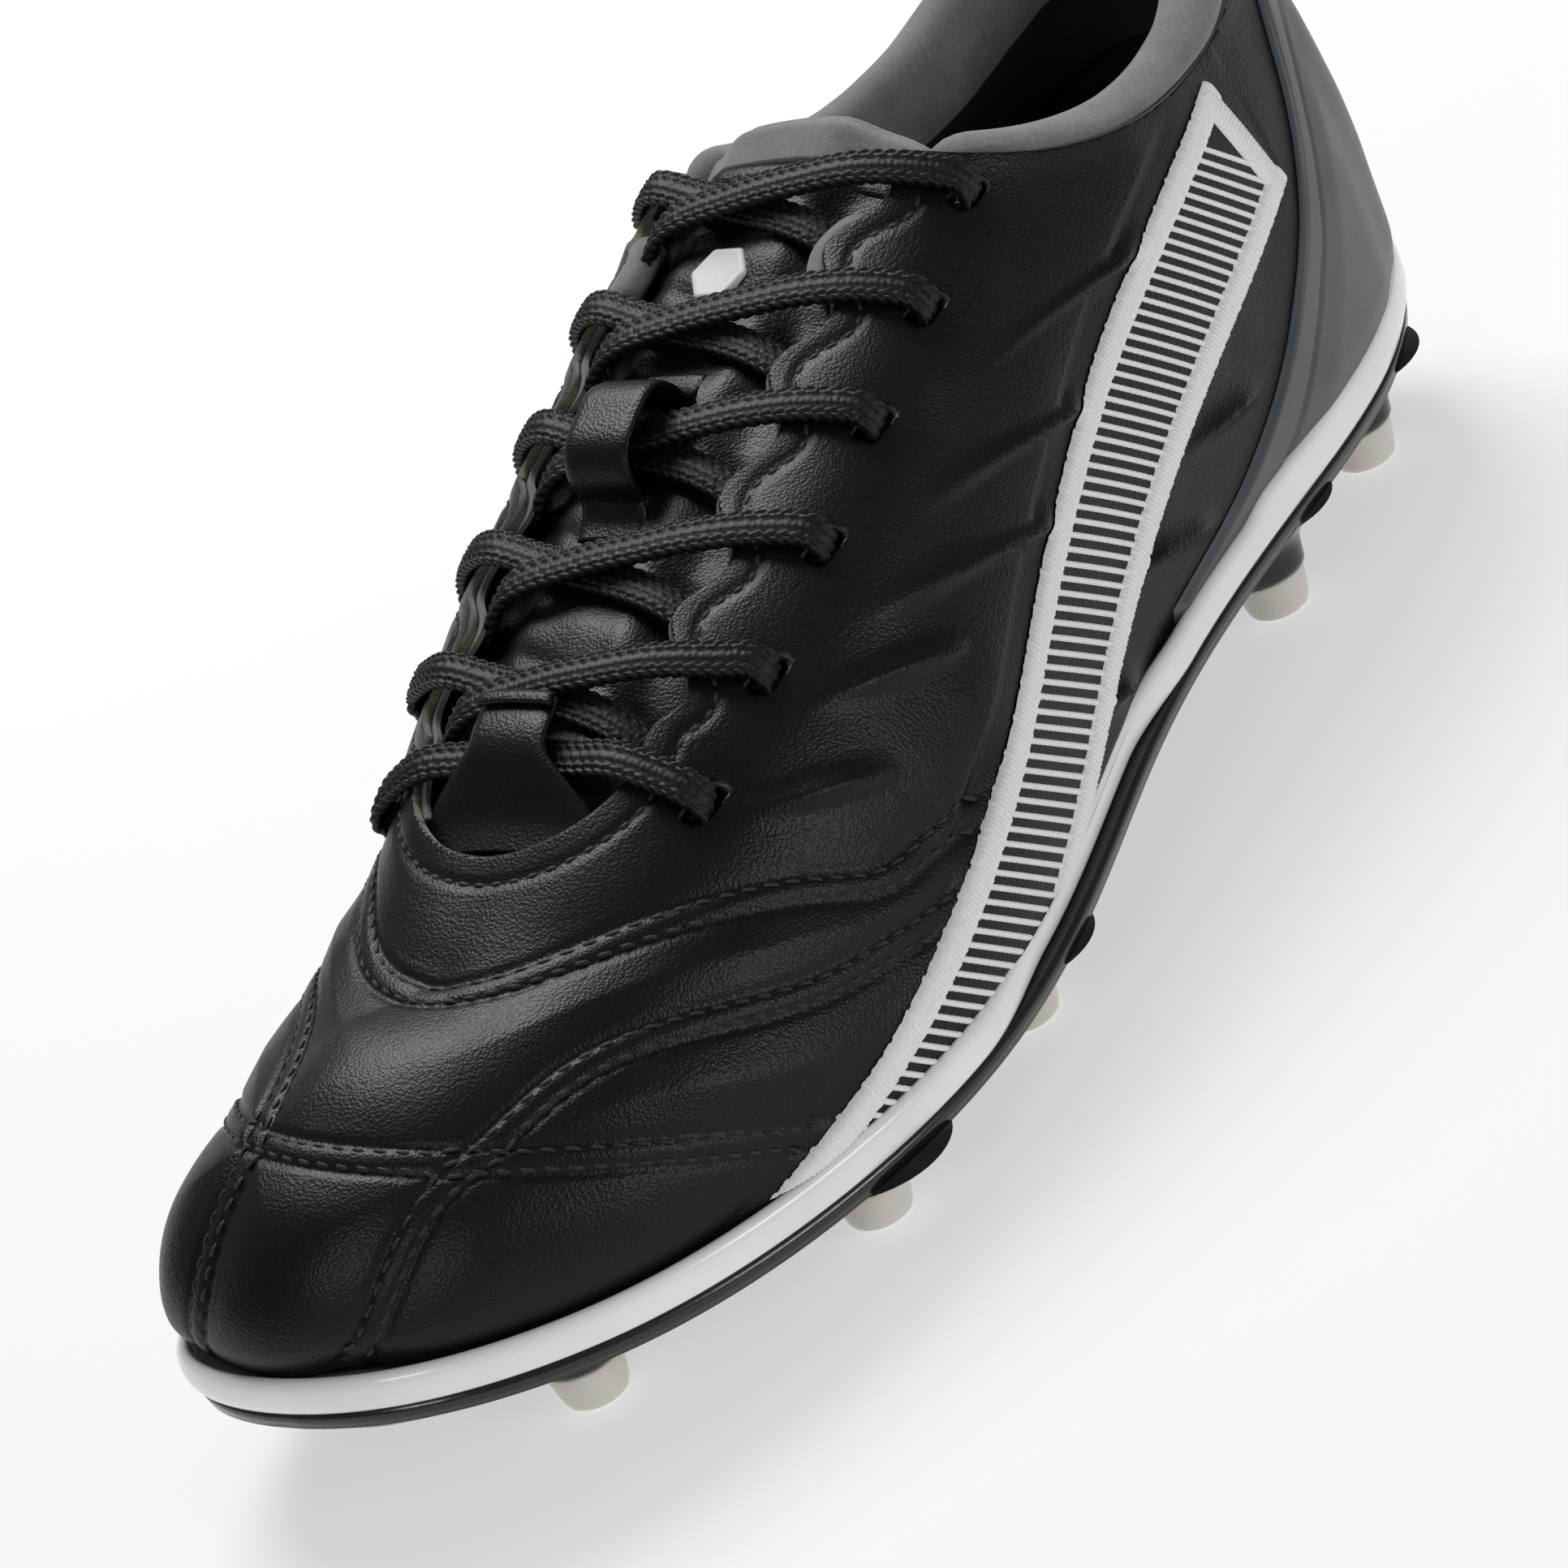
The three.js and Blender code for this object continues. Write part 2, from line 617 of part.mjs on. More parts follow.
// Flat layer inside the sole line, between two heights above the bite line.
function layerGeometry(out, low, high, rows, edge = 0) {
  const grid = (z, shrink) => Array.from({ length: rows + 1 }, (_, i) => {
    const s = (LENGTH / 2) * (1 - 0.9995 * Math.cos((Math.PI * i) / rows));
    const outer = beside(outlineT(s, 1), out - shrink, 0);
    const inner = beside(outlineT(s, -1), out - shrink, 0);
    return Array.from({ length: 5 }, (__, j) => {
      const place = inner.clone().lerp(outer, j / 4);
      place.z = biteAt(stationOf(place)) + z;
      return place;
    });
  });
  return slabGeometry(grid(high, 0), grid(low, edge));
}

function lathe(profile, segments) {
  const geometry = new THREE.LatheGeometry(profile.map(([r, z]) => new THREE.Vector2(r, z)), segments);
  return geometry.rotateX(Math.PI / 2);
}

// Moulded plate with the black roots of all studs.
function plateGeometry() {
  const top = -RIM_HEIGHT - 2 * GAP;
  let solid = toManifold(layerGeometry(1.2, top - PLATE_THICK, top, 30, 2.2));
  for (const [, x, s] of STUDS) {
    const under = biteAt(s) + top - PLATE_THICK;
    const low = TIP_HEIGHT + GAP;
    const high = under + 1.2;
    const profile = [[0, low], [TIP_RADIUS, low], [TIP_RADIUS + 0.5, lerp(low, high, 0.45)]];
    profile.push([TIP_RADIUS + 3.5, high], [0, high]);
    const root = lathe(profile, 12).translate(x, s - LENGTH / 2, 0);
    solid = solid.add(toManifold(root));
  }
  return fromManifold(solid);
}

function tipGeometry() {
  const profile = [[0, 0], [4.1, 0], [4.9, 0.9], [TIP_RADIUS - 0.1, TIP_HEIGHT], [0, TIP_HEIGHT]];
  return lathe(profile, 12);
}

// Sweep of a collar section of [depth, rise] pairs along the top edge, outer corner to inner corner.
function collarGeometry(section) {
  const start = outlineT(COLLAR_FRONT, 1);
  const end = outlineT(COLLAR_FRONT, -1);
  const rings = Array.from({ length: COLLAR_RINGS + 1 }, (_, i) => {
    const t = lerp(start, end, i / COLLAR_RINGS);
    const top = heightWhere(t, atTopline);
    const edge = lastPoint(t, top);
    const climb = edge.clone().sub(lastPoint(t, top - 0.03)).normalize();
    const normal = lastNormal(t, top);
    const toTop = arcUpTo(t, top);
    return section.map(([depth, rise]) => {
      if (rise > 0) return edge.clone().addScaledVector(normal, -depth).addScaledVector(climb, rise);
      return lastOffset(t, heightAtArc(t, toTop + rise, 0), -depth);
    });
  });
  return ringGeometry(rings, section.map(([depth, rise]) => new THREE.Vector2(depth, rise)), false);
}

function arcUpTo(t, h) {
  const steps = 40;
  let run = 0;
  for (let i = 0; i < steps; i += 1) {
    run += lastPoint(t, (h * i) / steps).distanceTo(lastPoint(t, (h * (i + 1)) / steps));
  }
  return run;
}

// suede band that wraps the padded collar, open at the bottom
const COLLAR_SKIN = [
  [2.1, -6], [2.1, 1], [3.4, 2.4], [5.6, 2.2], [7.6, 0.2], [8, -6], [7.7, -15], [7.4, -COLLAR_DROP],
  [6.5, -COLLAR_DROP], [6.8, -15], [7.1, -6], [6.8, 0], [5.2, 1.2], [3.8, 1.4], [3, 0.6], [3, -6],
];
const COLLAR_FOAM = [
  [3.4, -COLLAR_DROP + 1], [3.4, -15], [3.4, -6], [3.4, 0.1], [4.1, 0.8], [5.1, 0.7], [6.3, -0.4],
  [6.5, -6], [6.2, -15], [6, -COLLAR_DROP + 1],
];

// External heel counter: low wing towards the waist, climbing to the collar at the heel.
function counterGeometry() {
  const start = outlineT(174, 1);
  const end = outlineT(174, -1);
  const low = (t) => heightAtArc(t, 1.6, 0);
  const high = (t) => {
    const edge = heightAtArc(t, counterEdge.at(outlineAt(t)[1])[0], 0);
    return Math.min(edge, heightWhere(t, (p) => p.z >= topline.at(stationOf(p))[0] - COUNTER_DROP));
  };
  return patchGeometry(start, end, 28, low, high, 4, 1.9, 2 * GAP);
}

// Thin shaped board behind the leather.
function stiffenerGeometry(from, to, top) {
  return patchGeometry(from, to, 18, () => 0.03, top, 4, -STIFF_DEPTH, -STIFF_DEPTH - STIFF_THICK);
}

function heelStiffenerGeometry() {
  return stiffenerGeometry(outlineT(214, 1), outlineT(214, -1), (t) => heightAtArc(t, 34, 0));
}

function toePuffGeometry() {
  return stiffenerGeometry(outlineT(36, -1) - PERIMETER, outlineT(36, 1), () => 0.72);
}

// Straight slanted band on one side, from the sole to just under the collar.
function bandGeometry(side) {
  const middle = (s) => (s - BAND_TOE) * BAND_RISE;
  const half = BAND_HALF * Math.hypot(1, BAND_RISE);
  const grid = (up) => Array.from({ length: 19 }, (_, i) => {
    const s = lerp(BAND_FROM, BAND_TO, i / 18);
    const t = outlineT(s, side);
    const low = Math.max(middle(s) - half, 2.2);
    const high = Math.max(middle(s) + half, low + 1.5);
    return Array.from({ length: 4 }, (__, j) => {
      return lastOffset(t, heightAtArc(t, lerp(low, high, j / 3), 0), up);
    });
  });
  return slabGeometry(grid(2 * GAP + BAND_THICK), grid(2 * GAP));
}

// Crown of the tongue: high under the lace crossings, low under the eyestays.
function tongueTop(arc) {
  const fall = smoothstep(Math.abs(arc), 8.5, 17);
  return lerp(-3, -5.6, fall);
}

function tongueGrid(s0, s1, count, lift) {
  return Array.from({ length: count + 1 }, (_, i) => {
    const s = lerp(s0, s1, i / count);
    return Array.from({ length: 13 }, (__, j) => {
      const arc = lerp(-1, 1, j / 12) * tongueHalf(s);
      return instep(s, arc, lift(arc, s));
    });
  });
}

const tongueHalf = (s) => lerp(20, 34, smoothstep(s, 64, 110));
const tongueThick = (arc) => lerp(4.2, 2.6, smoothstep(Math.abs(arc), 10, 31));

function tongueGeometry() {
  const root = (s) => lerp(-0.9, 0, smoothstep(s, 66, 76));
  const upper = (arc, s) => tongueTop(arc) + root(s);
  const lower = (arc, s) => upper(arc, s) - tongueThick(arc);
  const top = tongueGrid(TONGUE_ROOT, TONGUE_END, 16, upper);
  const under = tongueGrid(TONGUE_ROOT, TONGUE_END, 16, lower);
  return slabGeometry(top, under);
}

function tongueBindingGeometry() {
  const [from, to] = BINDING;
  const top = tongueGrid(from, to, 2, (arc) => tongueTop(arc) + 0.2);
  const under = tongueGrid(from, to, 2, (arc) => tongueTop(arc) - tongueThick(arc) - 0.2);
  return slabGeometry(top, under);
}

// Leather strip along the ridge through [s, up of its underside] places.
function stripGeometry(places, halfWide, thick) {
  const path = new THREE.CatmullRomCurve3(places.map(([s, up]) => instep(s, 0.01, up)));
  const centres = path.getSpacedPoints(14);
  const across = new THREE.Vector3(1, 0, 0);
  const grid = (lift) => centres.map((centre, i) => {
    const tangent = path.getTangentAt(i / 14);
    const normal = across.clone().cross(tangent).normalize();
    const middle = centre.clone().addScaledVector(normal, lift);
    return [-1, 0, 1].map((w) => middle.clone().addScaledVector(across, w * halfWide(i / 14)));
  });
  return slabGeometry(grid(thick), grid(0));
}

function keeperGeometry() {
  const places = [
    [120.5, -2.3], [124.5, -1.3], [127, 2.4], [133, 4.6], [139, 2.4], [141.5, -1.3], [145.5, -2.3],
  ];
  return stripGeometry(places, () => 5, STRAP_THICK);
}

function throatTabGeometry() {
  const places = [[72, -2], [75, -1], [77.5, 0.8], [82, 1.25], [86, 0.9], [88.5, 1.4], [89, 2.9]];
  const half = (u) => lerp(12, 5, smoothstep(u, 0.25, 0.75));
  return stripGeometry(places, half, STRAP_THICK);
}

function badgeGeometry() {
  const lift = tongueTop(0) + GAP;
  const centre = instep(BADGE_S, 0.01, lift);
  const ahead = instep(BADGE_S + 2, 0.01, lift).sub(centre).normalize();
  const across = new THREE.Vector3(1, 0, 0);
  const normal = across.clone().cross(ahead).normalize();
  const geometry = new THREE.CylinderGeometry(BADGE_RADIUS, BADGE_RADIUS, 0.8, 6);
  geometry.rotateX(Math.PI / 2).translate(0, 0, 0.4);
  geometry.applyMatrix4(new THREE.Matrix4().makeBasis(across, ahead, normal));
  return geometry.translate(centre.x, centre.y, centre.z);
}

// ---------------------------------------------------------------- lace
// One turn of the lace round the edge of an eyelet, outside to inside.
function eyeletTurn(row, side) {
  const s = eyeletStation(row);
  const arc = eyeletArc.at(s)[0];
  const turn = [[-2.3, LACE_OVER], [-0.1, 0.5], [0.6, -1.25], [-0.1, -3], [-2.3, LACE_UNDER]];
  return turn.map(([past, up]) => [s, side * (arc + past), up]);
}

// From inside the eyelet on one side to outside the next eyelet on the other side.
function crossing(row, side) {
  const s = eyeletStation(row);
  const middle = side < 0 ? LACE_OVER : LACE_BELOW;
  return [
    [s + 2.6, side * 27.5, LACE_UNDER], [s + 5, side * 20.5, LACE_UNDER + 0.2],
    [s + 7.4, side * 12.5, middle - 0.8], [s + 10.4, 0, middle], [s + 13, -side * 10, middle + 0.1],
    [s + 15.6, -side * 18.5, LACE_OVER + 0.2], [s + 18.6, -side * 27.5, LACE_OVER],
  ];
}

// Tail of the lace, lying along the inside of the wall: [s, height up the rib, depth]
const TAIL = [
  [180, 47, 6], [170, 40, 6], [158, 35, 6], [146, 32, 6], [134, 30, 6], [122, 29, 6.3], [110, 29, 7.5],
];

function laceHalf(side) {
  const front = [[0.01, LACE_BELOW], [9, LACE_BELOW + 0.1], [17, LACE_OVER - 0.2], [25, LACE_OVER]];
  const route = front.map(([arc, up]) => [EYELET_S, side * arc, up]);
  let here = side;
  for (let row = 0; row < EYELETS; row += 1) {
    route.push(...eyeletTurn(row, here));
    if (row < EYELETS - 1) route.push(...crossing(row, here));
    here = row < EYELETS - 1 ? -here : here;
  }
  const places = route.map(([s, arc, up]) => ({ at: instep(s, arc, up), wide: alongInstep(s, arc) }));
  return { places, side: here };
}

function alongInstep(s, arc) {
  return instep(s + 2, arc).sub(instep(s - 2, arc)).normalize();
}

function laceTail(side) {
  return TAIL.map(([s, climb, depth]) => {
    const t = outlineT(s, side);
    const h = heightAtArc(t, climb, 0);
    const rise = lastPoint(t, h + 0.02).sub(lastPoint(t, h - 0.02)).normalize();
    return { at: lastOffset(t, h, -depth), wide: rise };
  });
}

function lacePlaces() {
  const outer = laceHalf(1);
  const inner = laceHalf(-1);
  const first = [...outer.places, ...laceTail(outer.side)];
  const second = [...inner.places, ...laceTail(inner.side)];
  return [...second.reverse(), ...first.slice(1)];
}

function laceGeometry(places) {
  const path = new THREE.CatmullRomCurve3(places.map((place) => place.at), false, 'centripetal');
  const rings = [];
  const octagon = Array.from({ length: 8 }, (_, k) => {
    const angle = (Math.PI * (k + 0.5)) / 4;
    return new THREE.Vector2((Math.cos(angle) * LACE_WIDE) / 2, (Math.sin(angle) * LACE_THICK) / 2);
  });
  const spans = places.length - 1;
  let wideBefore = null;
  for (let i = 0; i <= spans; i += 1) {
    const u = i / spans;
    const centre = path.getPoint(u);
    const tangent = path.getTangent(u);
    const wide = places[i].wide.clone();
    wide.addScaledVector(tangent, -wide.dot(tangent)).normalize();
    if (wideBefore && wide.dot(wideBefore) < 0) wide.negate();
    wideBefore = wide.clone();
    const normal = tangent.clone().cross(wide).normalize();
    rings.push(octagon.map((q) => centre.clone().addScaledVector(wide, q.x).addScaledVector(normal, q.y)));
  }
  return ringGeometry(rings, octagon, false);
}

function agletGeometry(end, before) {
  const direction = end.clone().sub(before).normalize();
  const start = end.clone().addScaledVector(direction, GAP);
  const curve = new THREE.LineCurve3(start, start.clone().addScaledVector(direction, 20));
  const shape = new THREE.Shape();
  shape.absarc(0, 0, 1.6, 0, 2 * Math.PI);
  const settings = { extrudePath: curve, steps: 1, curveSegments: 10, bevelEnabled: false };
  return new THREE.ExtrudeGeometry(shape, settings);
}

// ---------------------------------------------------------------- the cleat
const boot = new THREE.Group();
boot.position.x = CENTRE_X;

function add(name, geometry, colour, roughness, metalness = 0) {
  const material = new THREE.MeshStandardMaterial({ color: colour, roughness, metalness });
  const mesh = new THREE.Mesh(geometry, material);
  mesh.name = name;
  boot.add(mesh);
  return mesh;
}

add('outsole_plate', plateGeometry(), COLOURS.plate, 0.3);
add('sole_rim', rimGeometry(), COLOURS.white, 0.3);
for (const [name, x, s] of STUDS) {
  const tip = add(`stud_tip_${name}`, tipGeometry(), COLOURS.tip, 0.35);
  tip.position.set(x, s - LENGTH / 2, 0);
}
add('insole_board', layerGeometry(-6.8, -5.4, -3.4, 24), COLOURS.board, 0.9);
add('sock_liner', layerGeometry(-7.5, -3.0, 1.0, 24), COLOURS.liner, 0.9);

add('upper', upperGeometry(), COLOURS.leather, 0.5);
add('lining', liningGeometry(), COLOURS.lining, 0.9);
add('toe_puff', toePuffGeometry(), COLOURS.board, 0.9);
add('heel_stiffener', heelStiffenerGeometry(), COLOURS.board, 0.9);
add('heel_counter', counterGeometry(), COLOURS.counter, 0.45);
add('collar_lining', collarGeometry(COLLAR_SKIN), COLOURS.suede, 0.95);
add('collar_foam', collarGeometry(COLLAR_FOAM), COLOURS.board, 0.95);
for (const [word, side] of [['lateral', 1], ['medial', -1]]) {
  add(`eyestay_backer_${word}`, eyestayGeometry(side), COLOURS.lining, 0.9);
  add(`side_band_${word}`, bandGeometry(side), COLOURS.white, 0.6);
}

add('tongue', tongueGeometry(), COLOURS.leather, 0.5);
add('tongue_binding', tongueBindingGeometry(), COLOURS.suede, 0.9);
add('tongue_keeper', keeperGeometry(), COLOURS.leather, 0.5);
add('tongue_badge', badgeGeometry(), COLOURS.badge, 0.5);
add('throat_tab', throatTabGeometry(), COLOURS.leather, 0.5);

const places = lacePlaces();
add('lace', laceGeometry(places), COLOURS.lace, 0.9);
add('aglet_medial', agletGeometry(places[0].at, places[1].at), COLOURS.lace, 0.3);
add('aglet_lateral', agletGeometry(places.at(-1).at, places.at(-2).at), COLOURS.lace, 0.3);

export default boot;
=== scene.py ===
"""The soccer cleat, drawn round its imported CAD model.

Geometry is worked out in millimetres on the same last as the CAD. "s" is the distance from the toe. "t" runs
round the sole line. "h" goes from the sole (0) to the ridge (1). "up" is a distance along a rib from the
sole, or outwards from the leather. "arc" is a distance along a rib from the ridge. A side is 1 (outer) or -1.
"""

import math
import bmesh
import bpy
import numpy as np
from mathutils import Matrix, Vector
from mathutils.bvhtree import BVHTree


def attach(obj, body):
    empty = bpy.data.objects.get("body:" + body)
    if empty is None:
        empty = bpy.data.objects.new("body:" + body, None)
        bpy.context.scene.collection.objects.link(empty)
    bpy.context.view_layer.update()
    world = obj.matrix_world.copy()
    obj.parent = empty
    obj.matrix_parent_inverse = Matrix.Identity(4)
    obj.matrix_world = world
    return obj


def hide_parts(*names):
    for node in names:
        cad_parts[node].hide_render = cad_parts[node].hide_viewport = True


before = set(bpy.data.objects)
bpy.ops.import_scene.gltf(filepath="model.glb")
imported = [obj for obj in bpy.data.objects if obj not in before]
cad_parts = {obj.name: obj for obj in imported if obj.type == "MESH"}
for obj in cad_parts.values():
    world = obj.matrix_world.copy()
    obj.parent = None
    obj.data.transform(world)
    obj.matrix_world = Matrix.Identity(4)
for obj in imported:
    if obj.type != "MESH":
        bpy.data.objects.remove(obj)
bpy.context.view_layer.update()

# ------------------------------------------------------------------ dimensions shared with the CAD, mm
LENGTH = 284.0
CENTRE_X = -5.5
TOE_FAN = 48.0
HEEL_FAN = 246.0
FAN_BLEND = 14.0
SOLE_LINE = [
    (-6, 0), (14, 5), (30, 20), (42, 42), (50, 68), (53, 95), (50, 125), (44.5, 155), (41, 185),
    (38, 215), (35, 240), (29, 264), (18, 279), (0, 284),
    (-16, 279), (-27, 265), (-30.5, 242), (-29.5, 220), (-27.5, 190), (-29, 160), (-34.5, 135),
    (-41, 105), (-42, 75), (-39, 48), (-35, 25), (-25, 6), (-6, 0),
]
HEEL_CORNER = 13
BITE_HEIGHT = [
    (0, 27), (25, 22), (60, 19), (95, 19), (130, 21.5), (170, 26), (210, 26), (250, 25), (284, 29),
]
RIDGE_HEIGHT = [
    (0, 50), (30, 52), (50, 57), (80, 69.5), (100, 76.5), (120, 82.5), (140, 89), (160, 95.5), (180, 103),
    (200, 111), (220, 117), (250, 121), (284, 122),
]
RIDGE_SIDE = [
    (0, 6), (40, 5), (70, 4), (90, 1.5), (110, -1), (130, -3), (150, -4), (185, -4), (205, -2), (240, 1.5),
    (284, 0),
]
RIB_OUTER = [
    (0, 0.06, 0.02, 0.8, 0.45), (50, 0.06, 0.03, 0.8, 0.45), (80, 0.05, 0.01, 0.66, 0.58),
    (102, 0.05, 0, 0.71, 0.7), (123, 0.05, 0, 0.83, 0.82), (143, 0.05, 0, 0.86, 0.86),
    (164, 0.05, 0, 0.88, 0.87), (185, 0.05, 0, 0.83, 0.81), (205, 0.05, 0.02, 0.85, 0.74),
    (240, 0.06, 0.05, 0.92, 0.6), (284, 0.06, 0.05, 0.92, 0.6),
]
RIB_INNER = [
    (0, 0.06, 0.02, 0.8, 0.45), (50, 0.06, 0.03, 0.8, 0.45), (80, 0.06, 0.05, 0.6, 0.56),
    (102, 0.05, 0.06, 0.75, 0.73), (123, 0.05, 0.06, 0.94, 0.92), (143, 0.05, 0.06, 1.15, 1.15),
    (164, 0.05, 0.06, 1.4, 1.4), (185, 0.05, 0.06, 1.36, 1.32), (205, 0.05, 0.06, 1.08, 0.95),
    (240, 0.06, 0.05, 0.92, 0.6), (284, 0.06, 0.05, 0.92, 0.6),
]
CREST = 0.97
RIB_RISE = (0, 0.18, 0.5, 0.86, 1, 1)
TOPLINE = [
    (176, 110), (182, 104), (190, 97.5), (201, 91), (218, 85), (235, 83), (250, 84), (266, 89), (290, 97),
]
COUNTER_EDGE = [
    (172, 2.6), (190, 4), (209, 8), (223, 14), (240, 26), (251, 38), (262, 53), (270, 58), (290, 58),
]
LEATHER = 1.4
THROAT_TOE = 67.0
THROAT_HALF = 21.5
THROAT_NOSE = THROAT_TOE + THROAT_HALF
THROAT_LOW = 46.0
SCALLOP = 2.8
SCALLOP_LEAD = 3.0
THROAT_BACK = 181.0
EYELETS = 6
EYELET_S = 81.0
EYELET_PITCH = 20.8
EYELET_ARC = [(81, 31.5), (102, 35), (123, 36.8), (143, 36.8), (164, 36.8), (185, 35)]
SLOT_LONG = 7.0
SLOT_WIDE = 3.8
LACE_OVER = 1.35
LACE_UNDER = -3.75
PLATE_TOP = -6.2
PLATE_THICK = 2.6
TIP_HEIGHT = 6.5
TIP_RADIUS = 6.0
TONGUE_END = 183.0
BAND_HALF = 11.5
BAND_TOE, BAND_RISE = 86.0, 0.292
BAND_HEEL = 243.0
STUDS = {
    "forefoot_lateral_1": (16.5, 32), "forefoot_lateral_2": (40, 72), "forefoot_lateral_3": (38.5, 116),
    "forefoot_medial_1": (-19, 36), "forefoot_medial_2": (-30, 78), "forefoot_medial_3": (-24, 120),
    "forefoot_centre": (6, 94),
    "heel_lateral_1": (25, 217), "heel_lateral_2": (19, 257),
    "heel_medial_1": (-17.5, 217), "heel_medial_2": (-14, 257),
}


# ------------------------------------------------------------------ the last
class Spline:
    """Natural cubic spline through rows (u, a, b, ...). A closed one repeats its first row at the end."""

    def __init__(self, rows, closed=False):
        rows = np.array(rows, float)
        self.u, self.v = rows[:, 0], rows[:, 1:]
        count, step = len(rows), np.diff(self.u)
        matrix, right = np.zeros((count, count)), np.zeros_like(self.v)
        for i in range(1, count - 1):
            matrix[i, i - 1:i + 2] = step[i - 1], 2 * (step[i - 1] + step[i]), step[i]
            right[i] = 6 * ((self.v[i + 1] - self.v[i]) / step[i] - (self.v[i] - self.v[i - 1]) / step[i - 1])
        if closed:
            matrix[0, 0], matrix[0, 1], matrix[0, -2] = 2 * (step[-1] + step[0]), step[0], step[-1]
            right[0] = 6 * ((self.v[1] - self.v[0]) / step[0] - (self.v[0] - self.v[-2]) / step[-1])
            matrix[-1, 0], matrix[-1, -1] = 1, -1
        else:
            matrix[0, 0] = matrix[-1, -1] = 1
        self.bend = np.linalg.solve(matrix, right)

    def __call__(self, u):
        u = np.asarray(u, float)
        i = np.clip(np.searchsorted(self.u, u, "right") - 1, 0, len(self.u) - 2)
        step = self.u[i + 1] - self.u[i]
        a = (self.u[i + 1] - u) / step
        b = 1 - a
        a, b, step = a[..., None], b[..., None], step[..., None]
        cubic = (a ** 3 - a) * self.bend[i] + (b ** 3 - b) * self.bend[i + 1]
        value = a * self.v[i] + b * self.v[i + 1] + cubic * step ** 2 / 6
        return value[..., 0] if value.shape[-1] == 1 else value


def run_along(paths):
    """Distance from the start of each path to each of its points."""
    run = np.cumsum(np.linalg.norm(np.diff(paths, axis=-2), axis=-1), axis=-1)
    return np.concatenate([np.zeros(run.shape[:-1] + (1,)), run], axis=-1)


def read_rows(at, places, rows):
    """Rows of numbers read off at other places."""
    return np.column_stack([np.interp(at, places, column) for column in rows.T])


def sole_rows():
    points = np.array(SOLE_LINE, float)
    run = np.concatenate([[0], np.cumsum(np.hypot(*np.diff(points, axis=0).T))])
    return np.column_stack([run, points])


SOLE_ROWS = sole_rows()
PERIMETER = SOLE_ROWS[-1, 0]
outline = Spline(SOLE_ROWS, closed=True)
bite = Spline(BITE_HEIGHT)
ridge_height = Spline(RIDGE_HEIGHT)
ridge_side = Spline(RIDGE_SIDE)
rib_outer = Spline(RIB_OUTER)
rib_inner = Spline(RIB_INNER)
topline_spline = Spline(TOPLINE)
counter_edge = Spline(COUNTER_EDGE)
eyelet_arc = Spline(EYELET_ARC)


def sole_at(t):
    """(x, s) of the sole line."""
    return outline(np.mod(t, PERIMETER))


def turning_t(corner, way):
    """Place on the sole line near a corner where the station is least (way -1) or greatest (1)."""
    t = corner + np.linspace(-10, 10, 2001)
    return float(t[np.argmax(way * sole_at(t)[:, 1])])


TOE_T = turning_t(0, -1)
HEEL_T = turning_t(SOLE_ROWS[HEEL_CORNER, 0], 1)
HALF_T = {1: np.linspace(TOE_T, HEEL_T, 4001), -1: np.linspace(PERIMETER + TOE_T, HEEL_T, 4001)}
HALF_S = {side: sole_at(t)[:, 1] for side, t in HALF_T.items()}


def smoothstep(x, low, high):
    x = np.clip((np.asarray(x, float) - low) / (high - low), 0, 1)
    return x * x * (3 - 2 * x)


def mix(a, b, w):
    return a + (b - a) * w


def soft(x):
    """0 for low numbers, x for high ones."""
    return FAN_BLEND * np.log1p(np.exp(x / FAN_BLEND))


def station(points):
    return points[..., 1] + LENGTH / 2


def topline(s):
    return topline_spline(np.maximum(s, TOPLINE[0][0]))


def outline_t(s, side):
    """Place on the outer (1) or inner (-1) half of the sole line at a station."""
    s, side = np.broadcast_arrays(np.asarray(s, float), side)
    outer = np.interp(s, HALF_S[1], HALF_T[1])
    inner = np.interp(s, HALF_S[-1], HALF_T[-1])
    return np.where(side > 0, outer, inner)


def ridge_station(s):
    """Where the rib that starts at a station meets the ridge."""
    toe = TOE_FAN + soft(np.clip(s, 20, 268) - TOE_FAN)
    return HEEL_FAN - soft(HEEL_FAN - toe)


def last(t, h):
    """Point of the leather's outer face as (x, y, z), not yet centred."""
    t, h = np.broadcast_arrays(np.mod(np.asarray(t, float), PERIMETER), np.asarray(h, float))
    foot = outline(t)
    fx, fs = foot[..., 0], foot[..., 1]
    sa = ridge_station(fs)
    xa = ridge_side(sa)
    outer = ((t - TOE_T) % PERIMETER < HEEL_T - TOE_T)[..., None]
    shape = np.where(outer, rib_outer(fs), rib_inner(fs))
    ones = np.ones_like(fx)
    reach = [ones, 1 + shape[..., 0], 1 + shape[..., 1], shape[..., 2], shape[..., 3], 0 * ones]
    rho, climb = 0, 0
    for i, rise in enumerate(RIB_RISE):
        weight = math.comb(5, i) * h ** i * (1 - h) ** (5 - i)
        rho = rho + weight * reach[i]
        climb = climb + weight * rise
    z = mix(bite(fs), ridge_height(sa), climb)
    return np.stack([xa + rho * (fx - xa), sa + rho * (fs - sa) - LENGTH / 2, z], -1)


def unit(v):
    return v / np.maximum(np.linalg.norm(v, axis=-1, keepdims=True), 1e-9)


